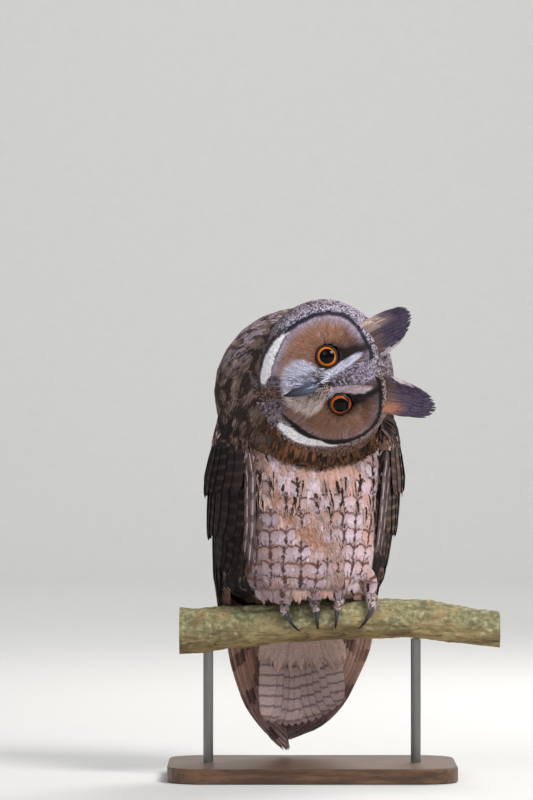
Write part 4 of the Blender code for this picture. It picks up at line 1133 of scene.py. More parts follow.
def breast_feathers():
    """The marked feathers of breast and flanks: columns of dark shafts, with arched bars between them."""
    root, up, way, half = breast_columns()
    soft = parting(root)
    keep = on_body(root) & (RNG.random(len(root)) > soft * 0.95) & (root[:, 1] < 0.030)
    root, up, way, half = root[keep], up[keep], jitter(way[keep], up[keep], 0.03), half[keep]
    x, z = root[:, 0], root[:, 2]
    length = short_of_branch(root, way, between(0.0255, 0.0275, root))
    half = half * between(0.95, 1.06, root) * np.clip(length / 0.016, 0.6, 1.0)
    buffy = np.clip(0.15 + 0.6 * chance(0.30, root) + 0.35 * smooth(z, 0.222, 0.250), 0, 0.9)
    # Painted shade and light: the breast darker towards the bird's right side, most on its upper part, in the
    # wing's shadow, and lighter towards its lit left side.
    side_shade = 0.88 - 0.52 * smooth(-x, 0.024, 0.052) + 0.34 * smooth(x, 0.018, 0.040)
    side_shade -= 0.30 * smooth(-x, 0.020, 0.040) * smooth(z, 0.205, 0.245)
    tip = mix(rgb(208, 188, 200), BUFF, buffy * RNG.random(len(root))) * RNG.normal(1.0, 0.05, (len(root), 1))
    tip = tip * side_shade[:, None]
    base = mix(tip, rgb(176, 134, 118) * side_shade[:, None], 0.62)
    s = np.linspace(0.0, 1.0, 10)
    share = (smooth(s, 0.56, 0.76) * (1 - 0.45 * smooth(s, 0.86, 1.0)))[None, :, None]
    tone = base[:, None, :] * (1 - share) + tip[:, None, :] * share
    chest = smooth(z, 0.215, 0.250)
    shaft = between(0.10, 0.15, root) + 0.11 * chest * RNG.random(len(root))
    looks = style(len(root), shaft, between(0.65, 0.95, root), between(2.15, 2.25, root))
    lay("coat_breast", root, way, up, length, half, SURFACE, tone, mix(rgb(88, 62, 58), DARK, chest), looks,
        rise=0.0022, rows=9, columns=12, camber=0.10, fringe=1.2, outline=SCALE_OUTLINE,
        phase=between(0.70, 0.78, root))


def chest_feathers():
    """A few loose streaked feathers over the chest's columns."""
    def wanted(p):
        return on_body(p) & (p[:, 2] > 0.226) & (p[:, 1] < 0.015) & (parting(p) < 0.6)

    root, up = scatter(0.0150, wanted)
    way = down_way(root, up, 0.12)
    length = between(0.0160, 0.0240, root)
    half = between(0.0026, 0.0042, root)
    tone = mix(rgb(182, 156, 152), BUFF, RNG.random(len(root)) * 0.7)
    mark = np.tile(DARK * 0.8, (len(root), 1))
    lay("coat_chest", root, way, up, length, half, SURFACE, vary(tone, 0.1), mark,
        style(len(root), between(0.15, 0.50, root), 0.0, 2.0), rise=0.0030, rows=7, columns=8, fringe=1.6,
        camber=0.1)


def body_feathers():
    """Soft plain feathers under the marked ones."""
    root, up = scatter(0.0030, on_body)
    keep = up[:, 2] > -0.6
    root, up = root[keep], up[keep]
    rear = rear_share(root)
    way = down_way(root, up, 0.14)
    length = short_of_branch(root, way, between(0.0115, 0.0160, root))
    half = between(0.0017, 0.0028, root)
    tone, mark = body_colour(root)
    # Painted shade: the soft feathers darker towards the bird's right side.
    tone = tone * (1 - 0.42 * smooth(-root[:, 0], 0.018, 0.050))[:, None]
    streak = np.where(chance(0.75 * rear, root), 0.40, 0.0)
    looks = style(len(root), streak, 0.5 * rear, 3.2)
    lay("coat_body", root, way, up, length, half, SURFACE, vary(tone), mark, looks, rise=0.0019)


def parting_down():
    """The loose down of the breast's parting."""
    root, up = scatter(0.00145, lambda p: on_body(p) & (parting(p) > 0.40))
    way = lean(np.tile((0.42, 0.0, -1.0), (len(root), 1)), up, 0.20)
    length = short_of_branch(root, way, between(0.0090, 0.0150, root))
    half = between(0.00045, 0.00085, root)
    buff = np.clip(1.3 * tract(root, BUFF_TRACT), 0, 1)
    tone = mix(rgb(188, 156, 146), rgb(182, 132, 106), buff * between(0.6, 1.0, root))
    tone = mix(tone, UMBER, 0.3 * chance(0.08, root))
    lay("coat_down", root, way, up, length, half, SURFACE, vary(tone, 0.06), tone * 0.6, style(len(root)),
        rise=between(0.0018, 0.0034, root), rows=5, columns=2, fringe=0.6, outline=HAIR_OUTLINE)


def hem_strands():
    """Fine strands along the belly's lower edge that part over each toe."""
    def wanted(p):
        return on_body(p) & (p[:, 2] < 0.166) & (p[:, 1] < -0.012) & (np.abs(to_body(p)[:, 0]) < 0.046)

    root, up = scatter(0.0011, wanted)
    tops = np.array(TOE_TOPS)
    nearest = tops[np.abs(root[:, :1] - tops).argmin(axis=1)]
    aside = 0.7 * np.clip((nearest - root[:, 0]) / 0.010, -1.0, 1.0)
    way = lean(np.stack((aside, np.zeros(len(root)), -np.ones(len(root))), axis=1), up, 0.24)
    length = short_of_branch(root, way, between(0.0090, 0.0160, root)) + between(-0.0010, 0.0020, root)
    half = between(0.00035, 0.00070, root)
    tone = mix(rgb(196, 172, 176), rgb(168, 124, 106), RNG.random(len(root)))
    tone = mix(tone, UMBER, 0.7 * chance(0.14, root))
    lay("coat_hem", root, way, up, length, half, SURFACE, vary(tone, 0.08), tone * 0.6, style(len(root)),
        rise=between(0.0022, 0.0040, root), rows=5, columns=2, fringe=0.6, outline=HAIR_OUTLINE)


# The collar's lower edge, seen from the front: x and z in mm.
COLLAR = (
    (-60, 272), (-41, 264), (-25, 255), (-10, 249), (6, 246.5), (30, 251), (46, 260), (54, 270), (62, 280),
)
NECK_REAR = 0.015


def over_collar(p, above=0.002):
    """Whether places are well above the collar's lower edge, or behind."""
    edge = MM * rows_at(COLLAR, p[:, 0] / MM)[0]
    return (p[:, 2] > edge + above) | (p[:, 1] > NECK_REAR)


def neck_feathers():
    """The collar round the head and down to the shoulders."""
    def wanted(p):
        shoulder = (p[:, 2] < 0.288) & (p[:, 1] > -0.020) & (np.abs(to_body(p)[:, 0]) > 0.052)
        return in_neck(p) & ~in_head(p, 1.05) & ~in_wing(p) & over_collar(p) & ~shoulder

    root, up = scatter(0.0018, wanted)
    way = lean(0.8 * unit(root - HEAD_T) + np.array((0.0, 0.0, -0.9)), up, 0.16)
    length = between(0.0085, 0.0130, root)
    edge = MM * rows_at(COLLAR, root[:, 0] / MM)[0] + between(-0.0015, 0.0025, root)
    room = (root[:, 2] - edge) / np.maximum(-way[:, 2], 0.2)
    length = np.where(root[:, 1] < NECK_REAR, np.clip(np.minimum(length, room), 0.0035, None), length)
    half = between(0.0010, 0.0018, root)
    tone, mark = neck_colour(root)
    streak = np.where(chance(0.15, root), 0.20, 0.0)
    lay("coat_neck", root, way, up, length, half, SURFACE, vary(tone, 0.20), mark,
        style(len(root), streak, 0.0, 2.0), rise=0.0020 + 0.0020 * (room < 0.020), rows=4, columns=2)


def wing_coverts():
    """Small and middle coverts over the folded wings."""
    root, up = scatter(0.0036, in_wing)
    back = BODY_R @ np.array((0.0, 1.0, 0.0))
    backward = 0.22 + 2.0 * smooth(up[:, 2], 0.25, 0.70)
    way = np.tile((0.0, 0.0, -1.0), (len(root), 1)) + backward[:, None] * back
    way = lean(way, up, 0.08)
    share = smooth(root[:, 2], 0.165, 0.290)
    length = between(0.90, 1.1, root) * (0.024 - 0.011 * share)
    half = between(0.9, 1.1, root) * (0.0052 - 0.0020 * share)
    tone, mark = wing_colour(root)
    spotted = chance(0.09, root) & (root[:, 2] > 0.200)
    tone = np.where(spotted[:, None], mix(tone, CREAM, 0.6), tone)
    streak = np.where(chance(0.7, root), 0.30, 0.0)
    lay("coat_wing", root, way, up, length, half, SURFACE, vary(tone, 0.18), mark,
        style(len(root), streak, 0.45, 3.0), rise=0.0026, columns=4, rows=5)


def head_feathers():
    """Crown, forehead, cheeks and chin outside the facial disc."""
    def wanted(p):
        h = to_head(p)
        front = h[:, 1] < -0.012
        return in_head(p, 1.10) & ~(front & (inside_disc(h) > 0.5) & (np.abs(h[:, 0]) > 0.006))

    root, up = scatter(0.0016, wanted)
    h = to_head(root)
    way = lean((h - np.array((0.0, -0.050, -0.008))) @ HEAD_R.T, up, 0.12)
    front = smooth(-h[:, 1], 0.0, 0.030)
    near = 1 - smooth(np.hypot(h[:, 0], h[:, 2] + 0.004), 0.006, 0.020)
    length = between(0.0062, 0.0084, root) * (1 - 0.42 * front) * (1 - 0.35 * near)
    half = between(0.0008, 0.0013, root) * (1 - 0.25 * front)
    lay("coat_head", root, way, up, length, half, SURFACE, plain_shade(root, 0.16), BLACK, style(len(root)),
        rise=0.0011, sink=0.0002, rows=4, columns=2, fringe=0.6, paint=face_colour)


def disc_feathers():
    """The facial disc: fine loose feathers that point away from each eye, and from the bill at its sides."""
    def wanted(p):
        h = to_head(p)
        eye = np.hypot(np.abs(h[:, 0]) - MM * EYE_SEEN[0], h[:, 2] - EYE_PLACE[2])
        return (h[:, 1] < -0.010) & in_head(p, 1.12) & (inside_disc(h) > 0.3) & (eye > 0.0080)

    root, up = scatter(0.00105, wanted, 5)
    h = to_head(root)
    m = face_marks(h)
    side, lores = m["side"], m["lores"]
    level = np.zeros(len(h))
    from_eye = np.stack((h[:, 0] - side * EYE_PLACE[0], level, h[:, 2] - EYE_PLACE[2]), axis=1)
    from_bill = np.stack((h[:, 0] - side * 0.001, level, h[:, 2]), axis=1)
    bill_share = np.clip(lores, 0.0, 1.0)[:, None]
    upward = np.stack((side * 0.35, level, np.ones(len(h))), axis=1)
    way = unit(from_eye) * (1 - bill_share) + unit(from_bill) * bill_share
    brow = np.clip(m["brow"] + m["wedge"] * (m["eye"] > 12), 0, 1)[:, None]
    brow = brow * smooth(m["z"], -2.0, 6.0)[:, None]
    way = unit(way) * (1 - brow) + upward * brow
    way = lean(way @ HEAD_R.T, up, 0.10)
    far = smooth(m["eye"], 9.0, 24.0)
    length = between(0.85, 1.15, root) * (0.0040 + 0.0046 * far)
    edge = 1 - smooth(m["rim_distance"], 1.0, 5.0)
    length *= (1 - 0.45 * edge) * (1 + 0.35 * lores)
    half = between(0.00034, 0.00060, root)
    lay("coat_disc", root, way, up, length, half, SURFACE, plain_shade(root, 0.15), BLACK, style(len(root)),
        rise=0.0007 + 0.0007 * lores + 0.0006 * m["brow"], sink=0.0001, rows=3, columns=2, camber=0.2,
        fringe=0.2, lift=0.18, outline=HAIR_OUTLINE, paint=face_colour)


def out_of_face(h, aside, outward):
    """Directions down the face and out of it, each a random share to its own side."""
    side = np.sign(h[:, 0])
    way = np.stack((side * between(*aside, h), np.full(len(h), outward), np.full(len(h), -1.0)), axis=1)
    return unit(way @ HEAD_R.T)


def bristles():
    """Long loose bristles that spring from the bill's sides."""
    def wanted(p):
        h = to_head(p)
        x, y, z = np.abs(h[:, 0]), h[:, 1], h[:, 2]
        return (y < -0.030) & (x < 0.0095) & (np.abs(z + 0.010) < 0.014) & (x > 0.0030)

    root, up = scatter(0.00120, wanted, 5)
    h = to_head(root)
    way = out_of_face(h, (-0.5, 0.8), -0.35)
    length = between(0.0060, 0.0100, root)
    half = between(0.00022, 0.00040, root)
    shade = plain_shade(root, 0.25)
    tone = mix(face_colour(h), DARK, 0.8 * chance(0.25, root)) * shade
    lay("coat_bristles", root, way, up, length, half, SURFACE, tone, BLACK, style(len(root)), rise=0.0022,
        sink=0.0001, rows=4, columns=2, fringe=0.2, lift=0.5, outline=HAIR_OUTLINE)


def cere_bristles():
    """Finer bristles that hide the bill's base."""
    def wanted(p):
        h = to_head(p)
        return (h[:, 1] < -0.030) & (np.abs(h[:, 0]) < 0.0050) & (h[:, 2] > -0.0085) & (h[:, 2] < 0.0040)

    root, up = scatter(0.00062, wanted, 7)
    h = to_head(root)
    way = out_of_face(h, (-0.05, 0.45), -0.85)
    length = between(0.0070, 0.0110, root)
    half = between(0.00020, 0.00036, root)
    pale = mix(rgb(200, 200, 216), rgb(206, 182, 172), smooth(h[:, 0], -0.002, 0.002))
    tone = np.where(chance(0.35, root)[:, None], DARK, pale) * plain_shade(root, 0.2)
    lay("coat_cere", root, way, up, length, half, SURFACE, tone, BLACK, style(len(root)), rise=0.0040,
        sink=0.0001, rows=5, columns=2, fringe=0.2, lift=0.8, outline=HAIR_OUTLINE)


def rim_feathers():
    """The stiff ruff round the disc: short dark feathers, then the white ones of the crescents."""
    def wanted(p):
        h = to_head(p)
        ax, z = np.abs(h[:, 0]) / MM, h[:, 2] / MM
        near = curve_distance(ax, z, RIM_LINE)[0] < 5.0
        for one in (-1, 1):
            near |= (curve_distance(ax, z, CRESCENTS[one])[0] < 5.0) & (np.sign(h[:, 0]) == one)
        return (h[:, 1] < -0.004) & in_head(p, 1.12) & near

    root, up = scatter(0.00120, wanted, 5)
    h = to_head(root)
    side = np.where(h[:, 0] < 0, -1.0, 1.0)
    out = np.stack((h[:, 0] - side * 0.020, np.zeros(len(h)), h[:, 2] - 0.002), axis=1)
    way = lean(out @ HEAD_R.T, up, 0.10)
    length = between(0.0030, 0.0046, root)
    half = between(0.0005, 0.0009, root)
    lay("coat_rim", root, way, up, length, half, SURFACE, plain_shade(root, 0.12), BLACK, style(len(root)),
        rise=0.0012, sink=0.0001, rows=4, columns=2, fringe=0.4, lift=0.5, paint=face_colour)


def foot_feathers():
    """Short pale feathers down the legs and toes."""
    root, up = scatter(0.0012, in_foot, 5)
    middle = np.where(root[:, :1] < 0.012, FOOT_PLACES["right"], FOOT_PLACES["left"])
    way = root - np.concatenate((middle, np.zeros_like(middle), np.full_like(middle, 0.158)), axis=1)
    way = lean(way, up, 0.15)
    length = between(0.0030, 0.0046, root)
    half = between(0.0005, 0.0009, root)
    tone = mix(rgb(214, 190, 160), rgb(178, 140, 104), 0.6 * smooth(cloud(root, 0.005, 8.0), 0.5, 0.8))
    lay("coat_feet", root, way, up, length, half, SURFACE, vary(tone, 0.12), tone * 0.5, style(len(root)),
        rise=0.0007, sink=0.0001, rows=3, columns=2, fringe=0.4)


def frames(centre, face):
    """Side and face directions of middle lines, square to them."""
    ahead = np.gradient(centre, axis=1)
    side = unit(np.cross(ahead, face))
    return side, unit(np.cross(side, ahead))


def outward_frames(centre, face):
    """Side and face directions of the wings' middle lines, with every face turned outward."""
    centre, face = np.array(centre), np.array(face)
    level = to_body(centre.reshape(-1, 3)).reshape(centre.shape) * (0, 0, 1)
    outward = centre - from_body(np.array((0.0, 0.01, 0.0)) + level)
    return centre, *frames(centre, np.where(dot(face, outward) < 0, -face, face))


# Name, number to a wing, top and bottom height, first and last share of the wing, half width, lift above the
# wing's surface at the top and at the bottom, number of bars, and how strong they are.
WING_TIERS = (
    ("wing_secondaries", 11, 0.206, 0.128, 0.30, 0.97, 0.0092, -0.0012, 0.0022, 8.0, 0.55),
    ("wing_flank", 5, 0.226, 0.166, 0.03, 0.24, 0.0066, -0.0012, 0.0014, 7.0, 0.45),
    ("wing_great_coverts", 14, 0.244, 0.192, 0.05, 0.96, 0.0082, -0.0010, 0.0030, 6.0, 0.6),
    ("wing_middle_coverts", 13, 0.266, 0.226, 0.07, 0.94, 0.0074, -0.0010, 0.0034, 4.5, 0.6),
)
TIER_STATIONS = 22


def tier_vane(sign, k, share, top, end, width, lift0, lift1):
    """One vane's middle line and its face directions."""
    s = np.linspace(0.0, 1.0, TIER_STATIONS)
    z = top + (end - top) * s
    lift = lift0 + (lift1 - lift0) * s + 0.0002 * k * s
    b = to_body(wing_surface(sign, z, np.full(TIER_STATIONS, share) + 0.02 * s, lift))
    b[:, 0] = sign * np.maximum(sign * b[:, 0], width * 0.5)
    line = from_body(b)
    near = wing_surface(sign, z, np.full(TIER_STATIONS, share - 0.02), lift)
    side = unit(line - near) * sign
    out = unit(np.cross(side, np.gradient(line, axis=0)))
    return line, unit(out + -side * 0.16 * sign)


def wing_tier(name, count, top, bottom, first, last, width, lift0, lift1, bars, strength):
    """One tier of flight feathers or coverts on both wings."""
    centres, faces = [], []
    for sign in (-1, 1):
        for k in range(count):
            share = first + (last - first) * k / (count - 1) + RNG.uniform(-0.006, 0.006)
            stagger = (0.006 if name == "wing_secondaries" else 0.0) * (k % 2)
            end = bottom + RNG.uniform(-0.003, 0.003) + stagger
            line, face = tier_vane(sign, k, share, top, end, width, lift0, lift1)
            centres.append(line)
            faces.append(face)
    centre, side, face = outward_frames(centres, faces)
    total = len(centre)
    right = (centre[:, 0, 0] < 0.0)[:, None]
    tone = mix(rgb(40, 31, 28), rgb(66, 53, 48), smooth(cloud(centre[:, 0], 0.02, 9.0), 0.35, 0.75)[:, None])
    rear = smooth(np.tile(np.linspace(first, last, count), 2), 0.38, 0.70)[:, None]
    # Painted shade and light: the bird's right wing darkened as in shade and the left wing lightened as in
    # light, both evening out towards the back.
    tone = tone * mix(np.where(right, 0.42, 1.5), 1.1, rear)
    light = np.tile(rgb(122, 100, 88), (total, 1)) * RNG.uniform(0.5, 1.3, (total, 1))
    # The bars' pale tone gets the same painted shade and light.
    light = light * mix(np.where(right, 0.30, 1.3), 1.0, rear)
    weave(name, centre, side, face, width * RNG.uniform(0.93, 1.07, total), outline_at(TIER_STATIONS),
          vary(tone, 0.1), light, style(total, 0.0, strength * RNG.uniform(0.6, 1.2, total), bars), columns=8,
          camber=0.10, fringe=0.5, thick=0.00022)


EDGE_STATIONS = 26
EDGE_COUNT = 6
EDGE_TOP, EDGE_END = 0.264, 0.166
EDGE_HALF = 0.00085


def edge_lines():
    """The narrow feathers that part each wing from the breast: pale ones, and dark ones that are partly the
    wing's own dark edge and partly painted shade in the gap.
    """
    s = np.linspace(0.0, 1.0, EDGE_STATIONS)
    centres, faces = [], []
    for sign in (-1, 1):
        for k in range(EDGE_COUNT):
            share = -0.045 + 0.011 * k
            z = EDGE_TOP - 0.004 * k + (EDGE_END + 0.007 * k - EDGE_TOP) * s
            line = wing_surface(sign, z, np.full(EDGE_STATIONS, share), 0.0022 + 0.0002 * k)
            near = wing_surface(sign, z, np.full(EDGE_STATIONS, share + 0.02), 0.0030)
            side = unit(near - line) * sign
            centres.append(line)
            faces.append(unit(np.cross(side, np.gradient(line, axis=0))))
    centre, side, face = outward_frames(centres, faces)
    total = len(centre)
    # Most lines are dark: partly the wing edge's own dark inner web, partly painted shade in the gap between
    # wing and breast.
    tone = mix(rgb(186, 168, 172), rgb(96, 78, 72), np.tile((0.9, 0.1, 0.9, 1.0, 0.4, 1.0), 2))
    weave("wing_edges", centre, side, face, EDGE_HALF, outline_at(EDGE_STATIONS), tone,
          np.tile(DARK, (total, 1)), style(total, 0.0, 0.6, 5.0), columns=3, camber=0.3, fringe=0.5,
          thick=0.0002)


PRIMARY_COUNT = 9
PRIMARY_STATIONS = 30
PRIMARY_TOP = 0.190
PRIMARY_HALF = 0.0088


def primary_vane(sign, k):
    """One primary's middle line and its face directions. The left wing's tips end higher and bend inward."""
    off = (k - 0.5 * (PRIMARY_COUNT - 1)) * 5.0 / (PRIMARY_COUNT - 1)
    rank = off + 1.2
    tip = 0.0175 + (0.0032 if rank < 0 else 0.0020) * rank**2 + RNG.uniform(-0.001, 0.001)
    if sign > 0:
        tip += 0.008
    z = PRIMARY_TOP + (tip - PRIMARY_TOP) * np.linspace(0.0, 1.0, PRIMARY_STATIONS)
    x, y, turn, spacing = rows_at(PRIMARY_PATH, z)
    if sign > 0:
        x = x + 0.014 * smooth(0.150 - z, 0.0, 0.045) * smooth(z, 0.015, 0.050)
        y = y + 0.003 * smooth(0.060 - z, 0.0, 0.030)
        x = x - 0.014 * smooth(0.075 - z, 0.0, 0.035) * min(max((off + 2.5) / 2.5, 0.0), 1.0)
    x = x - (0.0080 if sign > 0 else 0.0105) * smooth(0.060 - z, 0.0, 0.040)
    turn = np.radians(turn)
    level = np.zeros(PRIMARY_STATIONS)
    side = np.stack((-sign * np.sin(turn), np.cos(turn), level), axis=1)
    face = np.stack((sign * np.cos(turn), np.sin(turn), level), axis=1)
    line = np.stack((sign * x, y, z), axis=1) + side * (off * spacing)[:, None] - face * (off * 0.00095)
    kernel = np.ones(5) / 5
    padded = np.pad(line, ((2, 2), (0, 0)), mode="edge")
    soft = np.stack([np.convolve(padded[:, i], kernel, "valid") for i in range(3)], axis=1)
    soft[0], soft[-1] = line[0], line[-1]
    return from_body(soft), face @ BODY_R.T


def primaries():
    """The long outer flight feathers, stacked down past the branch."""
    vanes = [primary_vane(sign, k) for sign in (-1, 1) for k in range(PRIMARY_COUNT)]
    centre, face = (np.array(part) for part in zip(*vanes))
    side, face = frames(centre, face)
    total = len(centre)
    z = centre[:, :, 2].ravel()
    pale = np.tile(rgb(206, 168, 152), (total * PRIMARY_STATIONS, 1))
    tone = mix(pale, rgb(176, 150, 148), smooth(0.075 - z, 0.0, 0.035))
    # Painted shade: the primaries darker higher up, where they lie under the wing's other feathers.
    tone = mix(tone, rgb(62, 48, 44), smooth(z, 0.136, 0.156))
    tone = tone.reshape(total, PRIMARY_STATIONS, 3) * RNG.normal(1.0, 0.16, (total, 1, 1))
    mark = np.tile(rgb(54, 42, 40), (total, 1))
    order = np.tile(np.arange(PRIMARY_COUNT), 2)
    half = PRIMARY_HALF * RNG.uniform(0.97, 1.03, total)
    looks = style(total, 0.06, RNG.uniform(0.25, 0.75, total), 5.5)
    weave("wing_primaries", centre, side, face, half, outline_at(PRIMARY_STATIONS), tone, mark, looks,
          columns=8, camber=0.08, fringe=0.3, thick=0.00025,
          phase=0.06 * order + RNG.uniform(-0.05, 0.05, total))


TAIL_STATIONS = 22
TAIL_SIDE = np.array((1.0, 0.0, 0.0))
TAIL_ALONG = np.array(TAIL_TIP - TAIL_ROOT)


def tail_tier(name, count, spacing, deep, end, width, tone, mark, looks, fringe):
    """One tier of the tail. deep and end give a vane's two depths and its reach by its place in the tier."""
    s = np.linspace(0.0, 1.0, TAIL_STATIONS)[:, None]
    face_way = unit(np.cross(TAIL_ALONG, TAIL_SIDE))
    if face_way[1] > 0:
        face_way = -face_way
    root = np.array(TAIL_ROOT)
    centres, faces = [], []
    for k in range(count):
        off = k - 0.5 * (count - 1)
        start = root + TAIL_SIDE * off * spacing[0] + face_way * deep(off)[0]
        stop = root + TAIL_ALONG * end(off) + TAIL_SIDE * off * spacing[1] + face_way * deep(off)[1]
        bow = np.sin(s * math.pi) * face_way * 0.0012
        centres.append(from_body(start * (1 - s) + stop * s + bow))
        faces.append(np.tile(BODY_R @ face_way, (TAIL_STATIONS, 1)))
    centre = np.array(centres)
    side, face = frames(centre, np.array(faces))
    weave(name, centre, side, face, width * RNG.uniform(0.95, 1.05, count), outline_at(TAIL_STATIONS),
          vary(np.tile(tone, (count, 1)), 0.06), np.tile(mark, (count, 1)), style(count, *looks), columns=8,
          camber=0.10, fringe=fringe, thick=0.00022, phase=RNG.uniform(0.12, 0.28, count))


def tail_feathers():
    """The tail's twelve vanes."""
    length = float(np.linalg.norm(TAIL_ALONG))

    def deep(off):
        rank = abs(off) + 0.5
        return rank * 0.00095, rank * 0.00095

    def end(off):
        return 1.0 - 0.010 * (off / 5.5) ** 2 / length + 0.006 * (-0.5 - off / 5.5) / length

    tail_tier("tail_vanes", 12, (0.0039, 0.0056), deep, end, 0.0080, rgb(202, 178, 174), rgb(104, 90, 98),
              (0.0, 0.62, 11.5), 0.05)


def tail_coverts():
    """The soft coverts under the tail."""
    def deep(off):
        return 0.0072 + 0.0006 * abs(off), 0.0088 + 0.0006 * abs(off)

    def end(off):
        return 0.54 * (1.0 - 0.012 * abs(off) + RNG.uniform(-0.12, 0.02))

    tail_tier("tail_coverts", 17, (0.0023, 0.0042), deep, end, 0.0060, rgb(216, 186, 176), rgb(150, 122, 110),
              (0.04, 0.0, 3.0), 2.6)


def tuft_ends(sign, share):
    """Root and tip of an ear tuft's vane in the head's frame; share 0 is its outer edge and 1 its inner."""
    rise = math.sqrt(4 * share * (1 - share))
    outer, inner = (np.array(ends) for ends in zip(TUFT_ROOTS, TUFT_TIPS))
    root, tip = outer[0] + (inner[0] - outer[0]) * share, outer[1] + (inner[1] - outer[1]) * share
    tip = tip + rise * np.array(TUFT_PEAK)
    lean = LEFT_TUFT_LEAN if sign > 0 else 0.0
    return (
        np.array((sign * root[0], TUFT_DEPTHS[0], root[1])),
        np.array((sign * tip[0] + lean, TUFT_DEPTHS[1], tip[1])),
    )


def ear_colour(sign, share, height):
    """The tone of an ear tuft: dark, with a buff or tawny outer base and a pale frayed inner edge."""
    level = np.full(height.shape, share)
    base = mix(rgb(118, 94, 90), EAR_BLACK, smooth(height, 0.15, 0.50))
    pale = rgb(206, 178, 168) if sign < 0 else rgb(172, 120, 94)
    reach = 0.80 if sign < 0 else 0.62
    outer = (1 - smooth(level, 0.10, 0.40)) * (1 - smooth(height, reach - 0.35, reach))
    tone = mix(base, pale, outer)
    inner = smooth(level, 0.88, 0.97) * smooth(height, 0.20, 0.40)
    tone = mix(tone, CREAM, inner * (RNG.random() < 0.75) * 0.95)
    return mix(tone, rgb(150, 132, 142), 0.35 * (RNG.random() < 0.2) * smooth(height, 0.8, 1.0))


# First and last share of the tuft's length, and lift in front of its middle, for each layer of vanes.
TUFT_LAYERS = (
    (0.05, 1.00, -0.0010), (0.12, 0.93, 0.0002), (0.10, 0.80, 0.0014), (0.05, 0.62, 0.0024),
    (0.0, 0.44, 0.0032),
)
TUFT_VANES = 34
TUFT_STATIONS = 9


def tuft_vane(sign, share, first, reach_by, lift, across, face_way):
    """One narrow vane's middle line, tones and half width."""
    s = np.linspace(0.0, 1.0, TUFT_STATIONS)[:, None]
    root, tip = tuft_ends(sign, share)
    line = tip - root
    reach = reach_by * RNG.uniform(0.985, 1.003)
    deep = face_way * (lift + RNG.uniform(-0.0004, 0.0004))
    cup = face_way * (0.0030 * (2 * share - 1) ** 2)
    begin = root + line * first
    end = root + line * reach
    bow = np.sin(s * math.pi) * across * (-0.0016 + 0.0032 * share)
    centre = from_head(begin * (1 - s) + end * s + deep + cup + bow)
    height = first + (reach - first) * s[:, 0]
    tone = ear_colour(sign, share, height) * RNG.normal(1.0, 0.12)
    return centre, tone, 0.00120 * RNG.uniform(0.8, 1.2)


def ear_tuft(name, sign):
    """An ear tuft: many narrow soft vanes in layers that make one rounded, cupped blade."""
    across = unit(tuft_ends(sign, 1.0)[0] - tuft_ends(sign, 0.0)[0])
    start, stop = tuft_ends(sign, 0.5)
    face_way = np.cross(unit(stop - start), across)
    face_way = -face_way if face_way[1] > 0 else face_way
    vanes = []
    for layer in TUFT_LAYERS:
        for k in range(TUFT_VANES):
            share = np.clip(k / (TUFT_VANES - 1) + RNG.uniform(-0.02, 0.02), 0.0, 1.0)
            vanes.append(tuft_vane(sign, share, *layer, across, face_way))
    centre, tone, width = (np.array(part) for part in zip(*vanes))
    total = len(centre)
    side, face = frames(centre, np.tile(HEAD_R @ face_way, (total, TUFT_STATIONS, 1)))
    weave(name, centre, side, face, width, outline_at(TUFT_STATIONS, TUFT_OUTLINE), tone,
          np.tile(BLACK, (total, 1)), style(total), columns=4, camber=0.3, fringe=0.25)


body_feathers()
parting_down()
hem_strands()
breast_feathers()
chest_feathers()
neck_feathers()
wing_coverts()
head_feathers()
disc_feathers()
bristles()
cere_bristles()
rim_feathers()
foot_feathers()
for tier in WING_TIERS:
    wing_tier(*tier)
edge_lines()
primaries()
tail_feathers()
tail_coverts()
for side_name, sign in SIDES:
    ear_tuft("ear_vanes_" + side_name, float(sign))
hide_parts("wing_left", "wing_right")
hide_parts("tail")
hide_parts("ear_tuft_right")
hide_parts("ear_tuft_left")


# Eyes and lids.
PUPIL_EDGE, IRIS_EDGE = (0.525, 0.555), (0.76, 0.80)


def eye_material():
    """An orange iris with fine fibres, a dark ring at its edge, and the pupil, with painted shade on the
    lower eye's iris.
    """
    made, tree, shader = material("eye")
    r, turn, painted_iris_shade = split(tree, attribute(tree, "iris", "Vector"))
    streaks = tree.nodes.new("ShaderNodeCombineXYZ")
    feed(tree, streaks.inputs[0], times(tree, turn, 60.0))
    feed(tree, streaks.inputs[1], times(tree, r, 4.0))
    fibre = noise_node(tree, 1.0, 3.0, vector=streaks.outputs[0])
    colour = mix_node(tree, rgb(206, 104, 30), rgb(230, 140, 52), ramp_node(tree, fibre, 0.35, 0.65))
    colour = mix_node(tree, colour, rgb(128, 46, 14), ramp_node(tree, r, 0.62, 0.77))
    # Painted shade: the lower eye's iris darker and redder, as in the brow's shadow.
    colour = mix_node(tree, colour, rgb(150, 58, 22), times(tree, painted_iris_shade, 0.62))
    colour = mix_node(tree, rgb(5, 4, 4), colour, ramp_node(tree, r, *PUPIL_EDGE))
    colour = mix_node(tree, colour, rgb(10, 7, 7), ramp_node(tree, r, *IRIS_EDGE))
    finish_look(tree, shader, colour, 0.05)
    shader.inputs["Specular IOR Level"].default_value = 0.14
    return made


EYE_LOOK = eye_material()


def eye_centre(sign):
    return (sign * EYE_PLACE[0], EYE_PLACE[1], EYE_PLACE[2])


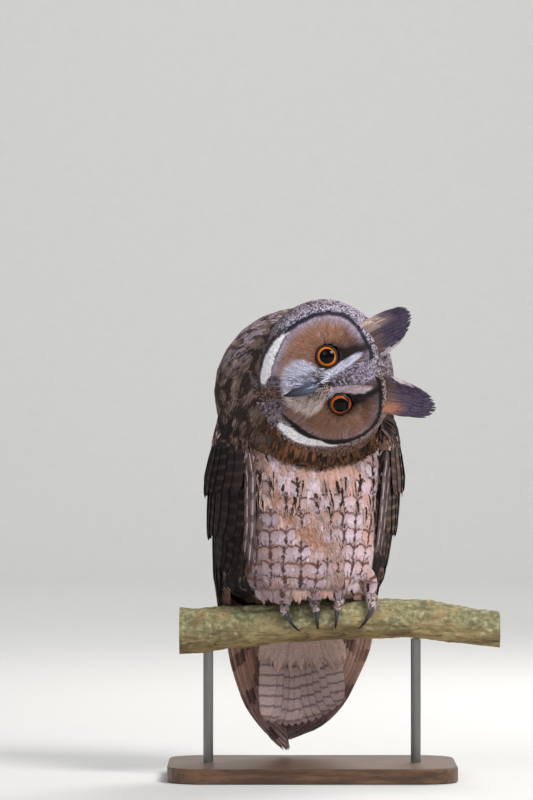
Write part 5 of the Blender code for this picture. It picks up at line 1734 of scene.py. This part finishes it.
def make_eye(name, sign):
    """A ball whose pole looks out of the face, with the cornea's slight bulge."""
    build = bmesh.new()
    bmesh.ops.create_uvsphere(build, u_segments=64, v_segments=48, radius=1.0)
    forward = Matrix.Rotation(sign * EYE_OUTWARD, 3, "Z") @ Vector((0.0, -1.0, 0.0))
    turn_to = Vector((0.0, 0.0, 1.0)).rotation_difference(forward).to_matrix()
    place = Vector(eye_centre(sign))
    # 1 for the lower eye, whose iris gets painted shade.
    painted_iris_shade = 1.0 if sign > 0 else 0.0
    iris = []
    for vertex in build.verts:
        polar = math.acos(max(-1.0, min(1.0, vertex.co.z)))
        from_pole = math.sin(polar) if polar < math.pi / 2 else 2.0
        iris.append((from_pole, math.atan2(vertex.co.y, vertex.co.x), painted_iris_shade))
        bulge = 0.0006 * math.exp(-((polar / 0.55) ** 2))
        local = turn_to @ (vertex.co * (EYE_RADIUS + bulge - 0.0001))
        vertex.co = HEAD @ (place + local)
    made = piece_of(name, build, EYE_LOOK)
    set_vector(made.data, "iris", iris)
    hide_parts(name.replace("ball", "").rstrip("_"))


def ring_faces(rings, sides, closed=False):
    """Quads between neighbouring rings of places."""
    faces = []
    for i in range(rings if closed else rings - 1):
        a, b = i * sides, (i + 1) % rings * sides
        faces += [(a + k, a + (k + 1) % sides, b + (k + 1) % sides, b + k) for k in range(sides)]
    return faces


def lid_material():
    made, tree, shader = material("lid")
    grain = noise_node(tree, 1500.0, 3.0)
    colour = mix_node(tree, rgb(16, 12, 13), rgb(46, 36, 34), ramp_node(tree, grain, 0.45, 0.75))
    finish_look(tree, shader, colour, ramp_node(tree, grain, 0.3, 0.7, 0.35, 0.6), grain, 0.4, 0.0002)
    return made


LID_LOOK = lid_material()
LID_STEPS, LID_SIDES = 72, 14


def make_lid(name, sign):
    """A soft ring of lid that lies on the eye, with the upper lid drawn a little over it."""
    turn = np.array(Matrix.Rotation(sign * EYE_OUTWARD, 3, "Z"))
    place = np.array(eye_centre(sign))
    verts = []
    for k in range(LID_STEPS):
        around = 2 * math.pi * k / LID_STEPS
        brow = max(0.0, math.sin(around + sign * 0.35)) ** 2
        open_radius = LID_RADIUS - 0.0003 - (0.0026 if sign > 0 else 0.0011) * brow
        outward = np.array((math.cos(around), 0.0, math.sin(around)))
        for j in range(LID_SIDES):
            a = 2 * math.pi * j / LID_SIDES
            reach = open_radius + 0.0007 + 0.0007 * math.cos(a)
            depth = -math.sqrt(max(EYE_RADIUS**2 - min(reach, 0.0105) ** 2, 1e-8)) - 0.0004
            point = outward * reach + np.array((0.0, depth - 0.0006 - 0.0008 * math.sin(a), 0.0))
            verts.append(place + turn @ point)
    faces = ring_faces(LID_STEPS, LID_SIDES, closed=True)
    made = new_piece(name, from_head(np.array(verts)), faces, LID_LOOK)


for side_name, sign in SIDES:
    make_eye("eye_" + side_name + "_ball", sign)
    make_lid("lid_" + side_name, sign)


# Bill and talons. The bill's rows are y, z, half width and half depth in the head's frame.
UPPER_BILL_ROWS = (
    (-0.0370, -0.0060, 0.0044, 0.0050),
    (-0.0440, -0.0110, 0.0046, 0.0052),
    (-0.0490, -0.0180, 0.0041, 0.0046),
    (-0.0515, -0.0250, 0.0031, 0.0035),
    (-0.0518, -0.0305, 0.0019, 0.0023),
    (-0.0507, -0.0352, 0.0006, 0.0008),
)
LOWER_BILL_ROWS = (
    (-0.0350, -0.0170, 0.0042, 0.0030),
    (-0.0410, -0.0215, 0.0040, 0.0028),
    (-0.0450, -0.0265, 0.0030, 0.0022),
    (-0.0468, -0.0310, 0.0014, 0.0012),
)
BILL_RINGS, BILL_SIDES = 36, 28
UPPER_RIDGE = 0.18


def horn_material(name, base, tip):
    """Horn that darkens along the share kept in the piece's attribute."""
    made, tree, shader = material(name)
    share = attribute(tree, "share", "Fac")
    grain = noise_node(tree, 420.0, 4.0)
    wobble = add(tree, share, times(tree, less(tree, grain, 0.5), 0.25))
    colour = mix_node(tree, base, tip, ramp_node(tree, wobble, 0.25, 0.85))
    colour = scale_node(tree, colour, ramp_node(tree, grain, 0.3, 0.7, 0.82, 1.12))
    finish_look(tree, shader, colour, ramp_node(tree, grain, 0.3, 0.7, 0.24, 0.42), grain, 0.25, 0.0002)
    return made


def smooth_rows(rows, count):
    """Rows drawn through as a smooth curve, at even shares."""
    table = np.array(rows, float)
    made = []
    for t in np.linspace(0.0, len(table) - 1, count):
        i = int(min(math.floor(t), len(table) - 2))
        f = t - i
        p0, p1 = table[max(i - 1, 0)], table[i]
        p2, p3 = table[i + 1], table[min(i + 2, len(table) - 1)]
        made.append(0.5 * (2 * p1 + (p2 - p0) * f + (2 * p0 - 5 * p1 + 4 * p2 - p3) * f**2
                           + (3 * p1 - p0 - 3 * p2 + p3) * f**3))
    return np.array(made)


def bill(name, rows, look, ridge):
    """One half of the bill: rings along its rows, with a ridge on top and closed ends."""
    rings, sides = BILL_RINGS, BILL_SIDES
    path = smooth_rows(rows, rings)
    verts, share = [], []
    for i, (y, z, wide, deep) in enumerate(path):
        before, after = path[max(i - 1, 0)], path[min(i + 1, rings - 1)]
        ahead = unit(np.array((0.0, after[0] - before[0], after[1] - before[1])))
        up = np.cross((1.0, 0.0, 0.0), ahead)
        for k in range(sides):
            turn = 2 * math.pi * k / sides
            across, above = math.cos(turn), math.sin(turn)
            x = wide * math.copysign(abs(across) ** 0.9, across)
            lift = deep * above * (1.0 + ridge * max(0.0, -above if up[1] > 0 else above) * (1 - abs(across)))
            verts.append(np.array((0.0, y, z)) + np.array((x, 0.0, 0.0)) + up * lift)
            share.append(i / (rings - 1))
    verts += [np.array((0.0, end[0], end[1])) for end in (path[0], path[-1])]
    share += [0.0, 1.0]
    faces = ring_faces(rings, sides)
    last = (rings - 1) * sides
    for k in range(sides):
        faces.append((k, (k + 1) % sides, rings * sides))
        faces.append((last + k, last + (k + 1) % sides, rings * sides + 1))
    build = bmesh.new()
    places = [build.verts.new(p) for p in from_head(np.array(verts))]
    for face in faces:
        build.faces.new([places[i] for i in face])
    bmesh.ops.recalc_face_normals(build, faces=build.faces)
    made = piece_of(name, build, look)
    set_share(made.data, share)
    return made


BILL_LOOK = horn_material("bill_horn", rgb(72, 80, 100), rgb(14, 13, 17))
upper_bill = bill("upper_bill", UPPER_BILL_ROWS, BILL_LOOK, UPPER_RIDGE)
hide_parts("bill_upper")
lower_bill = bill("lower_bill", LOWER_BILL_ROWS, BILL_LOOK, 0.0)
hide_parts("bill_lower")

# Each toe: how far it stands beside its foot's middle, and how far its tip leans.
FRONT_TOES = {
    "right": ((-0.0136, 0.0150), (0.0136, 0.0016)),
    "left": ((-0.0148, -0.0016), (0.0148, -0.0128)),
}
BACK_TOES = ((-0.0085, 0.0010), (0.0085, -0.0010))
TOE_OFF = 0.0056
TALON_LOOK = horn_material("talon_horn", rgb(70, 68, 78), rgb(7, 6, 8))
TALON_RINGS, TALON_SIDES = 26, 14
TALON_HALF, TALON_FLAT, TALON_TIP = 0.0030, 0.85, 0.00008
TOE_RINGS, TOE_SIDES = 22, 20


def toe_material():
    """Pale, wrinkled skin of the toes, with darker creases."""
    made, tree, shader = material("toe")
    scutes = cell_node(tree, 620.0)
    grain = noise_node(tree, 300.0, 4.0)
    colour = mix_node(tree, rgb(190, 174, 176), rgb(140, 114, 106), ramp_node(tree, grain, 0.42, 0.62))
    colour = mix_node(tree, rgb(70, 54, 50), colour, ramp_node(tree, scutes, 0.75, 0.45))
    finish_look(tree, shader, colour, ramp_node(tree, grain, 0.3, 0.7, 0.45, 0.7), add(tree, scutes, grain),
                0.6, 0.0006)
    return made


TOE_LOOK = toe_material()


def branch_point(x, turn, off):
    z, r = rows_at(BRANCH_ROWS, x)
    reach = r + off
    return np.array((x, -reach * math.sin(turn), z + reach * math.cos(turn)))


def tube(path, radii, sides, flat=1.0):
    """Rings of places round a path. flat is how wide they are from side to side."""
    ahead = unit(np.gradient(path, axis=0))
    side = np.tile((1.0, 0.0, 0.0), (len(path), 1))
    side = unit(side - ahead * dot(side, ahead))
    out = np.cross(side, ahead)
    turns = 2 * math.pi * np.arange(sides) / sides
    return (
        path[:, None, :]
        + side[:, None, :] * (radii[:, None] * flat * np.cos(turns))[:, :, None]
        + out[:, None, :] * (radii[:, None] * np.sin(turns))[:, :, None]
    ).reshape(-1, 3)


def make_talon(name, x, wrap, lean_by):
    """A claw that curves round the branch and tapers to its point."""
    onward = math.copysign(math.radians(70.0), wrap)
    begin = wrap - math.copysign(math.radians(3.0), wrap)
    path, radii = [], []
    for k in range(TALON_RINGS):
        share = k / (TALON_RINGS - 1)
        off = TOE_OFF * (1 - share) + 0.0009 * share + 0.0014 * math.sin(math.pi * share)
        path.append(branch_point(x + lean_by * share**1.5, begin + onward * share, off))
        radii.append(TALON_HALF * (1 - share) ** 0.7 + TALON_TIP)
    verts = tube(np.array(path), np.array(radii), TALON_SIDES, TALON_FLAT)
    made = new_piece(name + "_claw", verts, ring_faces(TALON_RINGS, TALON_SIDES), TALON_LOOK)
    set_share(made.data, np.repeat(np.linspace(0, 1, TALON_RINGS), TALON_SIDES))
    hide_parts(name)


def make_toe(name, x, offset, lean_by):
    """The last joints of a front toe, over the branch's front edge, with a knuckle and a pad."""
    path, radii = [], []
    for k in range(TOE_RINGS):
        share = k / (TOE_RINGS - 1)
        turn = math.radians(2.0 + 70.0 * share)
        off = 0.0050 + 0.0010 * math.sin(math.pi * share)
        aside = offset * (0.72 + 0.28 * share) + lean_by * 0.10 * share
        path.append(branch_point(x + aside, turn, off))
        swell = math.exp(-(((share - 0.52) / 0.20) ** 2)) + 0.5 * math.exp(-(((share - 0.10) / 0.16) ** 2))
        end = math.sqrt(max(1.0 - max(0.0, (share - 0.86) / 0.14) ** 2, 0.02))
        radii.append((0.0036 + 0.0011 * swell) * end)
    path = np.array(path)
    verts = tube(path, np.array(radii), TOE_SIDES)
    quads = np.array(ring_faces(TOE_RINGS, TOE_SIDES))
    made = new_piece(name, verts, quads, TOE_LOOK)
    tris = np.concatenate((quads[:, :3], quads[:, (0, 2, 3)]))
    normals = unit(verts.reshape(TOE_RINGS, TOE_SIDES, 3) - path[:, None, :]).reshape(-1, 3)
    return verts, normals, tris


TOE_FEATHERS = 1500
TOE_BARE_TURN = 44.0


def toe_feathers(parts):
    """Short feathers that run down the upper side of each front toe."""
    verts, normals = (np.concatenate([part[i] for part in parts]) for i in (0, 1))
    tris = np.concatenate([part[2] + i * len(parts[0][0]) for i, part in enumerate(parts)])
    surface = BVHTree.FromPolygons(verts.tolist(), tris.tolist())
    middle = verts[tris].mean(axis=1)
    turn = np.degrees(np.arctan2(-middle[:, 1], middle[:, 2] - rows_at(BRANCH_ROWS, middle[:, 0])[0]))
    tris = tris[turn < TOE_BARE_TURN]
    corner = verts[tris]
    area = np.linalg.norm(np.cross(corner[:, 1] - corner[:, 0], corner[:, 2] - corner[:, 0]), axis=1)
    pick = RNG.choice(len(tris), TOE_FEATHERS, p=area / area.sum())
    share = RNG.dirichlet((1.0, 1.0, 1.0), len(pick))[:, :, None]
    root = (verts[tris[pick]] * share).sum(axis=1)
    up = unit((normals[tris[pick]] * share).sum(axis=1))
    way = lean(np.tile((0.0, -0.75, -0.65), (len(root), 1)), up, 0.2)
    length = between(0.0022, 0.0038, root)
    half = between(0.0004, 0.0008, root)
    tone = mix(rgb(206, 184, 176), rgb(150, 118, 98), RNG.random(len(root)) * 0.5)
    lay("coat_toes", root, way, up, length, half, surface, vary(tone, 0.12), tone * 0.5, style(len(root)),
        rise=0.0005, sink=0.0001, rows=3, columns=2, fringe=0.4)


toe_parts = []
for side_name, x in FOOT_PLACES.items():
    for number, (offset, lean_by) in enumerate(FRONT_TOES[side_name], 1):
        toe_parts.append(make_toe(f"toe_{side_name}_{number}", x, offset, lean_by))
toe_feathers(toe_parts)

FRONT_WRAP, BACK_WRAP = math.radians(48.0), math.radians(-58.0)
for side_name, x in FOOT_PLACES.items():
    for group, toes, wrap in (("front", FRONT_TOES[side_name], FRONT_WRAP), ("back", BACK_TOES, BACK_WRAP)):
        for number, (offset, lean_by) in enumerate(toes, 1):
            make_talon(f"talon_{side_name}_{group}_{number}", x + offset, wrap, lean_by)


# The branch and its bark.
def bark_material():
    """Furrowed bark, with moss and lichen on its upper side."""
    made, tree, shader = material("bark")
    place = mapped(tree, "Scale", (0.35, 1.0, 1.0))
    coarse = noise_node(tree, 90.0, 6.0, 0.65, place)
    fine = noise_node(tree, 420.0, 5.0, 0.6, place)
    moss = noise_node(tree, 38.0, 4.0, 0.6)
    lichen = noise_node(tree, 240.0, 3.0, 0.6)
    cells = cell_node(tree, 260.0, place)
    bark = mix_node(tree, rgb(112, 96, 64), rgb(178, 156, 110), ramp_node(tree, coarse, 0.35, 0.65))
    bark = mix_node(tree, bark, rgb(52, 42, 34), ramp_node(tree, fine, 0.56, 0.72))
    normal = tree.nodes.new("ShaderNodeNewGeometry").outputs["Normal"]
    high = ramp_node(tree, split(tree, normal)[2], -0.75, 0.25)
    green = mix_node(tree, rgb(110, 108, 76), rgb(158, 153, 114), ramp_node(tree, lichen, 0.35, 0.65))
    amount = times(tree, high, ramp_node(tree, moss, 0.30, 0.52), clamp=True)
    colour = mix_node(tree, bark, green, amount)
    spots = times(tree, ramp_node(tree, lichen, 0.60, 0.68), high)
    colour = mix_node(tree, colour, rgb(186, 186, 150), times(tree, spots, 0.7))
    height = add(tree, fine, times(tree, cells, 0.6))
    finish_look(tree, shader, colour, ramp_node(tree, fine, 0.3, 0.7, 0.8, 0.98), height, 0.8, 0.0012)
    return made


def sawn_material():
    """Pale cut wood, with rings round the branch's middle."""
    made, tree, shader = material("sawn_wood")
    rings = tree.nodes.new("ShaderNodeTexWave")
    rings.wave_type = "RINGS"
    rings.rings_direction = "X"
    for key, value in (("Scale", 150.0), ("Distortion", 3.0), ("Detail", 3.0)):
        rings.inputs[key].default_value = value
    feed(tree, rings.inputs["Vector"], mapped(tree, "Location", (0.0, 0.0, -0.1172)))
    colour = mix_node(tree, rgb(206, 176, 132), rgb(150, 112, 74), rings.outputs["Fac"])
    finish_look(tree, shader, colour, 0.75)
    return made


BARK_RINGS, BARK_SIDES = 420, 120
BARK_RADIUS = 0.016
# Each knot: its x, and its turn round the branch in radians.
KNOTS = (
    (-0.088, 0.6), (-0.052, 2.4), (0.004, 1.7), (0.052, 1.1), (0.066, 2.0), (0.094, 0.4), (0.128, 1.5),
    (0.030, 3.9), (-0.070, 4.6), (0.110, 5.2),
)
CAP_SHARES = (1.0, 0.9, 0.6, 0.3, 0.03)


def make_branch():
    """The branch's solid again, finer, with furrowed bark and knots."""
    x = np.linspace(BRANCH_ROWS[0][0], BRANCH_ROWS[-1][0], BARK_RINGS)
    fine_rows = smooth_rows(BRANCH_ROWS, 60)
    z, r = (np.interp(x, fine_rows[:, 0], fine_rows[:, column]) for column in (1, 2))
    turn = 2 * math.pi * np.arange(BARK_SIDES) / BARK_SIDES
    gx, gt = np.meshgrid(x, turn, indexing="ij")
    ring = np.stack((gx * 0.4, np.sin(gt) * BARK_RADIUS, np.cos(gt) * BARK_RADIUS), axis=-1)
    rough = cloud(ring, 0.006, 20.0).reshape(gx.shape) - 0.5
    rough += 0.5 * (cloud(ring, 0.0022, 21.0).reshape(gx.shape) - 0.5)
    radius = r[:, None] - 0.0002 + 0.0016 * rough
    for kx, kt in KNOTS:
        away = np.abs((gt - kt + math.pi) % (2 * math.pi) - math.pi)
        d = np.hypot((gx - kx) / 0.0052, away * BARK_RADIUS / 0.0046)
        radius += 0.0022 * np.exp(-(d**2)) - 0.0012 * np.exp(-((d / 0.42) ** 2))
    verts = np.stack((gx, -radius * np.sin(gt), z[:, None] + radius * np.cos(gt)), axis=-1)
    grid = np.arange(BARK_RINGS * BARK_SIDES).reshape(BARK_RINGS, BARK_SIDES)
    after = np.roll(grid, -1, axis=1)
    quads = np.stack((grid[:-1], grid[1:], after[1:], after[:-1]), axis=-1).reshape(-1, 4)
    made = new_piece("bark", verts.reshape(-1, 3), quads, bark_material())
    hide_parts("branch")
    saw_ends(verts)


def saw_ends(verts):
    """Plain sawn ends: rings that draw in from the bark's first and last rows."""
    caps, places = [], []
    for row, order in ((0, 1), (BARK_RINGS - 1, -1)):
        edge = verts[row]
        middle = edge.mean(axis=0)
        start = len(places)
        for share in CAP_SHARES:
            bulge = np.array((-0.0004 * order * (1 - share), 0.0, 0.0))
            places.extend(middle + (edge - middle) * share + bulge)
        for face in ring_faces(len(CAP_SHARES), BARK_SIDES):
            caps.append([start + corner for corner in face[::order]])
    cap = new_piece("sawn_ends", np.array(places), caps, sawn_material())


make_branch()


# The stand keeps its solids, with wood and steel that show their grain.
def wood_material():
    made, tree, shader = material("stained_wood")
    place = mapped(tree, "Scale", (0.12, 1.0, 1.0))
    grain = noise_node(tree, 160.0, 6.0, 0.6, place)
    pores = noise_node(tree, 900.0, 2.0, 0.5, place)
    colour = mix_node(tree, rgb(74, 52, 38), rgb(116, 84, 60), ramp_node(tree, grain, 0.35, 0.65))
    colour = mix_node(tree, colour, rgb(40, 28, 22), ramp_node(tree, pores, 0.6, 0.75))
    finish_look(tree, shader, colour, ramp_node(tree, grain, 0.3, 0.7, 0.34, 0.5), pores, 0.2, 0.0003)
    return made


def steel_material():
    made, tree, shader = material("brushed_steel")
    lines = noise_node(tree, 2200.0, 3.0, 0.6, mapped(tree, "Scale", (1.0, 1.0, 0.05)))
    colour = mix_node(tree, rgb(120, 118, 116), rgb(158, 156, 152), lines)
    finish_look(tree, shader, colour, ramp_node(tree, lines, 0.3, 0.7, 0.3, 0.46))
    shader.inputs["Metallic"].default_value = 1.0
    return made


WOOD, STEEL = wood_material(), steel_material()
for name, look in (("stand_base", WOOD), ("stand_rod_left", STEEL), ("stand_rod_right", STEEL)):
    for material_slot in NODES[name].material_slots:
        material_slot.material = look


# Floor, light and camera.
FLOOR_HALF = 6.0
FLOOR_LOW = 0.0002
WALL_PLACE, WALL_TOP = 5.6, 4.0
BEND_RADIUS, BEND_STEPS = 1.4, 16


def floor_material():
    made, tree, shader = material("floor")
    grain = noise_node(tree, 60.0, 3.0)
    finish_look(tree, shader, mix_node(tree, rgb(222, 221, 217), rgb(228, 227, 223), grain), 0.85)
    return made


def make_stage():
    """A floor that bends up into a wall behind the bird."""
    rows = [(-FLOOR_HALF, 0.0)]
    for k in range(BEND_STEPS + 1):
        a = 0.5 * math.pi * k / BEND_STEPS
        y = WALL_PLACE - BEND_RADIUS + BEND_RADIUS * math.sin(a)
        rows.append((y, BEND_RADIUS - BEND_RADIUS * math.cos(a)))
    rows.append((WALL_PLACE, WALL_TOP))
    build = bmesh.new()
    loops = [[build.verts.new((x, y, z - FLOOR_LOW)) for x in (-FLOOR_HALF, FLOOR_HALF)] for y, z in rows]
    for a, b in zip(loops, loops[1:]):
        build.faces.new((a[0], a[1], b[1], b[0]))
    mesh = bpy.data.meshes.new("floor")
    build.to_mesh(mesh)
    build.free()
    mesh.shade_smooth()
    mesh.materials.append(floor_material())
    floor = bpy.data.objects.new("floor", mesh)
    bpy.context.scene.collection.objects.link(floor)


BIRD_MIDDLE = (0.0, 0.0, 0.24)
# Name, place, target, size, power and colour.
LIGHTS = (
    ("key", (1.15, -1.35, 1.75), BIRD_MIDDLE, 0.9, 44.0, (1.0, 0.97, 0.95)),
    ("fill", (-1.3, -1.7, 1.5), BIRD_MIDDLE, 1.6, 13.0, (0.93, 0.95, 1.0)),
    ("rim", (0.6, 1.3, 1.5), BIRD_MIDDLE, 0.9, 22.0, (1.0, 0.98, 0.96)),
    ("backdrop", (0.0, 2.6, 3.2), (0.0, 5.6, 0.7), 2.5, 64.0, (1.0, 0.99, 0.97)),
)
SKY_COLOUR, SKY_STRENGTH = (0.86, 0.90, 1.0, 1.0), 0.32
CAMERA_PLACE = (-0.0364, -4.0, 0.3016)
CAMERA_LENS = 225.0


def light(name, place, target, size, power, colour):
    data = bpy.data.lights.new(name, "AREA")
    data.shape = "DISK"
    data.size = size
    data.energy = power
    data.color = colour
    made = bpy.data.objects.new(name, data)
    made.location = place
    made.rotation_mode = "QUATERNION"
    made.rotation_quaternion = (Vector(target) - Vector(place)).to_track_quat("-Z", "Y")
    bpy.context.scene.collection.objects.link(made)


def make_sky():
    world = bpy.data.worlds.new("studio")
    world.use_nodes = True
    sky = world.node_tree.nodes["Background"]
    sky.inputs[0].default_value = SKY_COLOUR
    sky.inputs[1].default_value = SKY_STRENGTH
    bpy.context.scene.world = world


def make_camera():
    data = bpy.data.cameras.new("camera")
    data.lens = CAMERA_LENS
    data.clip_end = 50.0
    made = bpy.data.objects.new("camera", data)
    made.location = CAMERA_PLACE
    made.rotation_euler = (math.radians(90.0), 0.0, 0.0)
    bpy.context.scene.collection.objects.link(made)
    bpy.context.scene.camera = made


make_stage()
for lamp in LIGHTS:
    light(*lamp)
make_sky()
make_camera()
bpy.context.scene.view_settings.view_transform = "Standard"
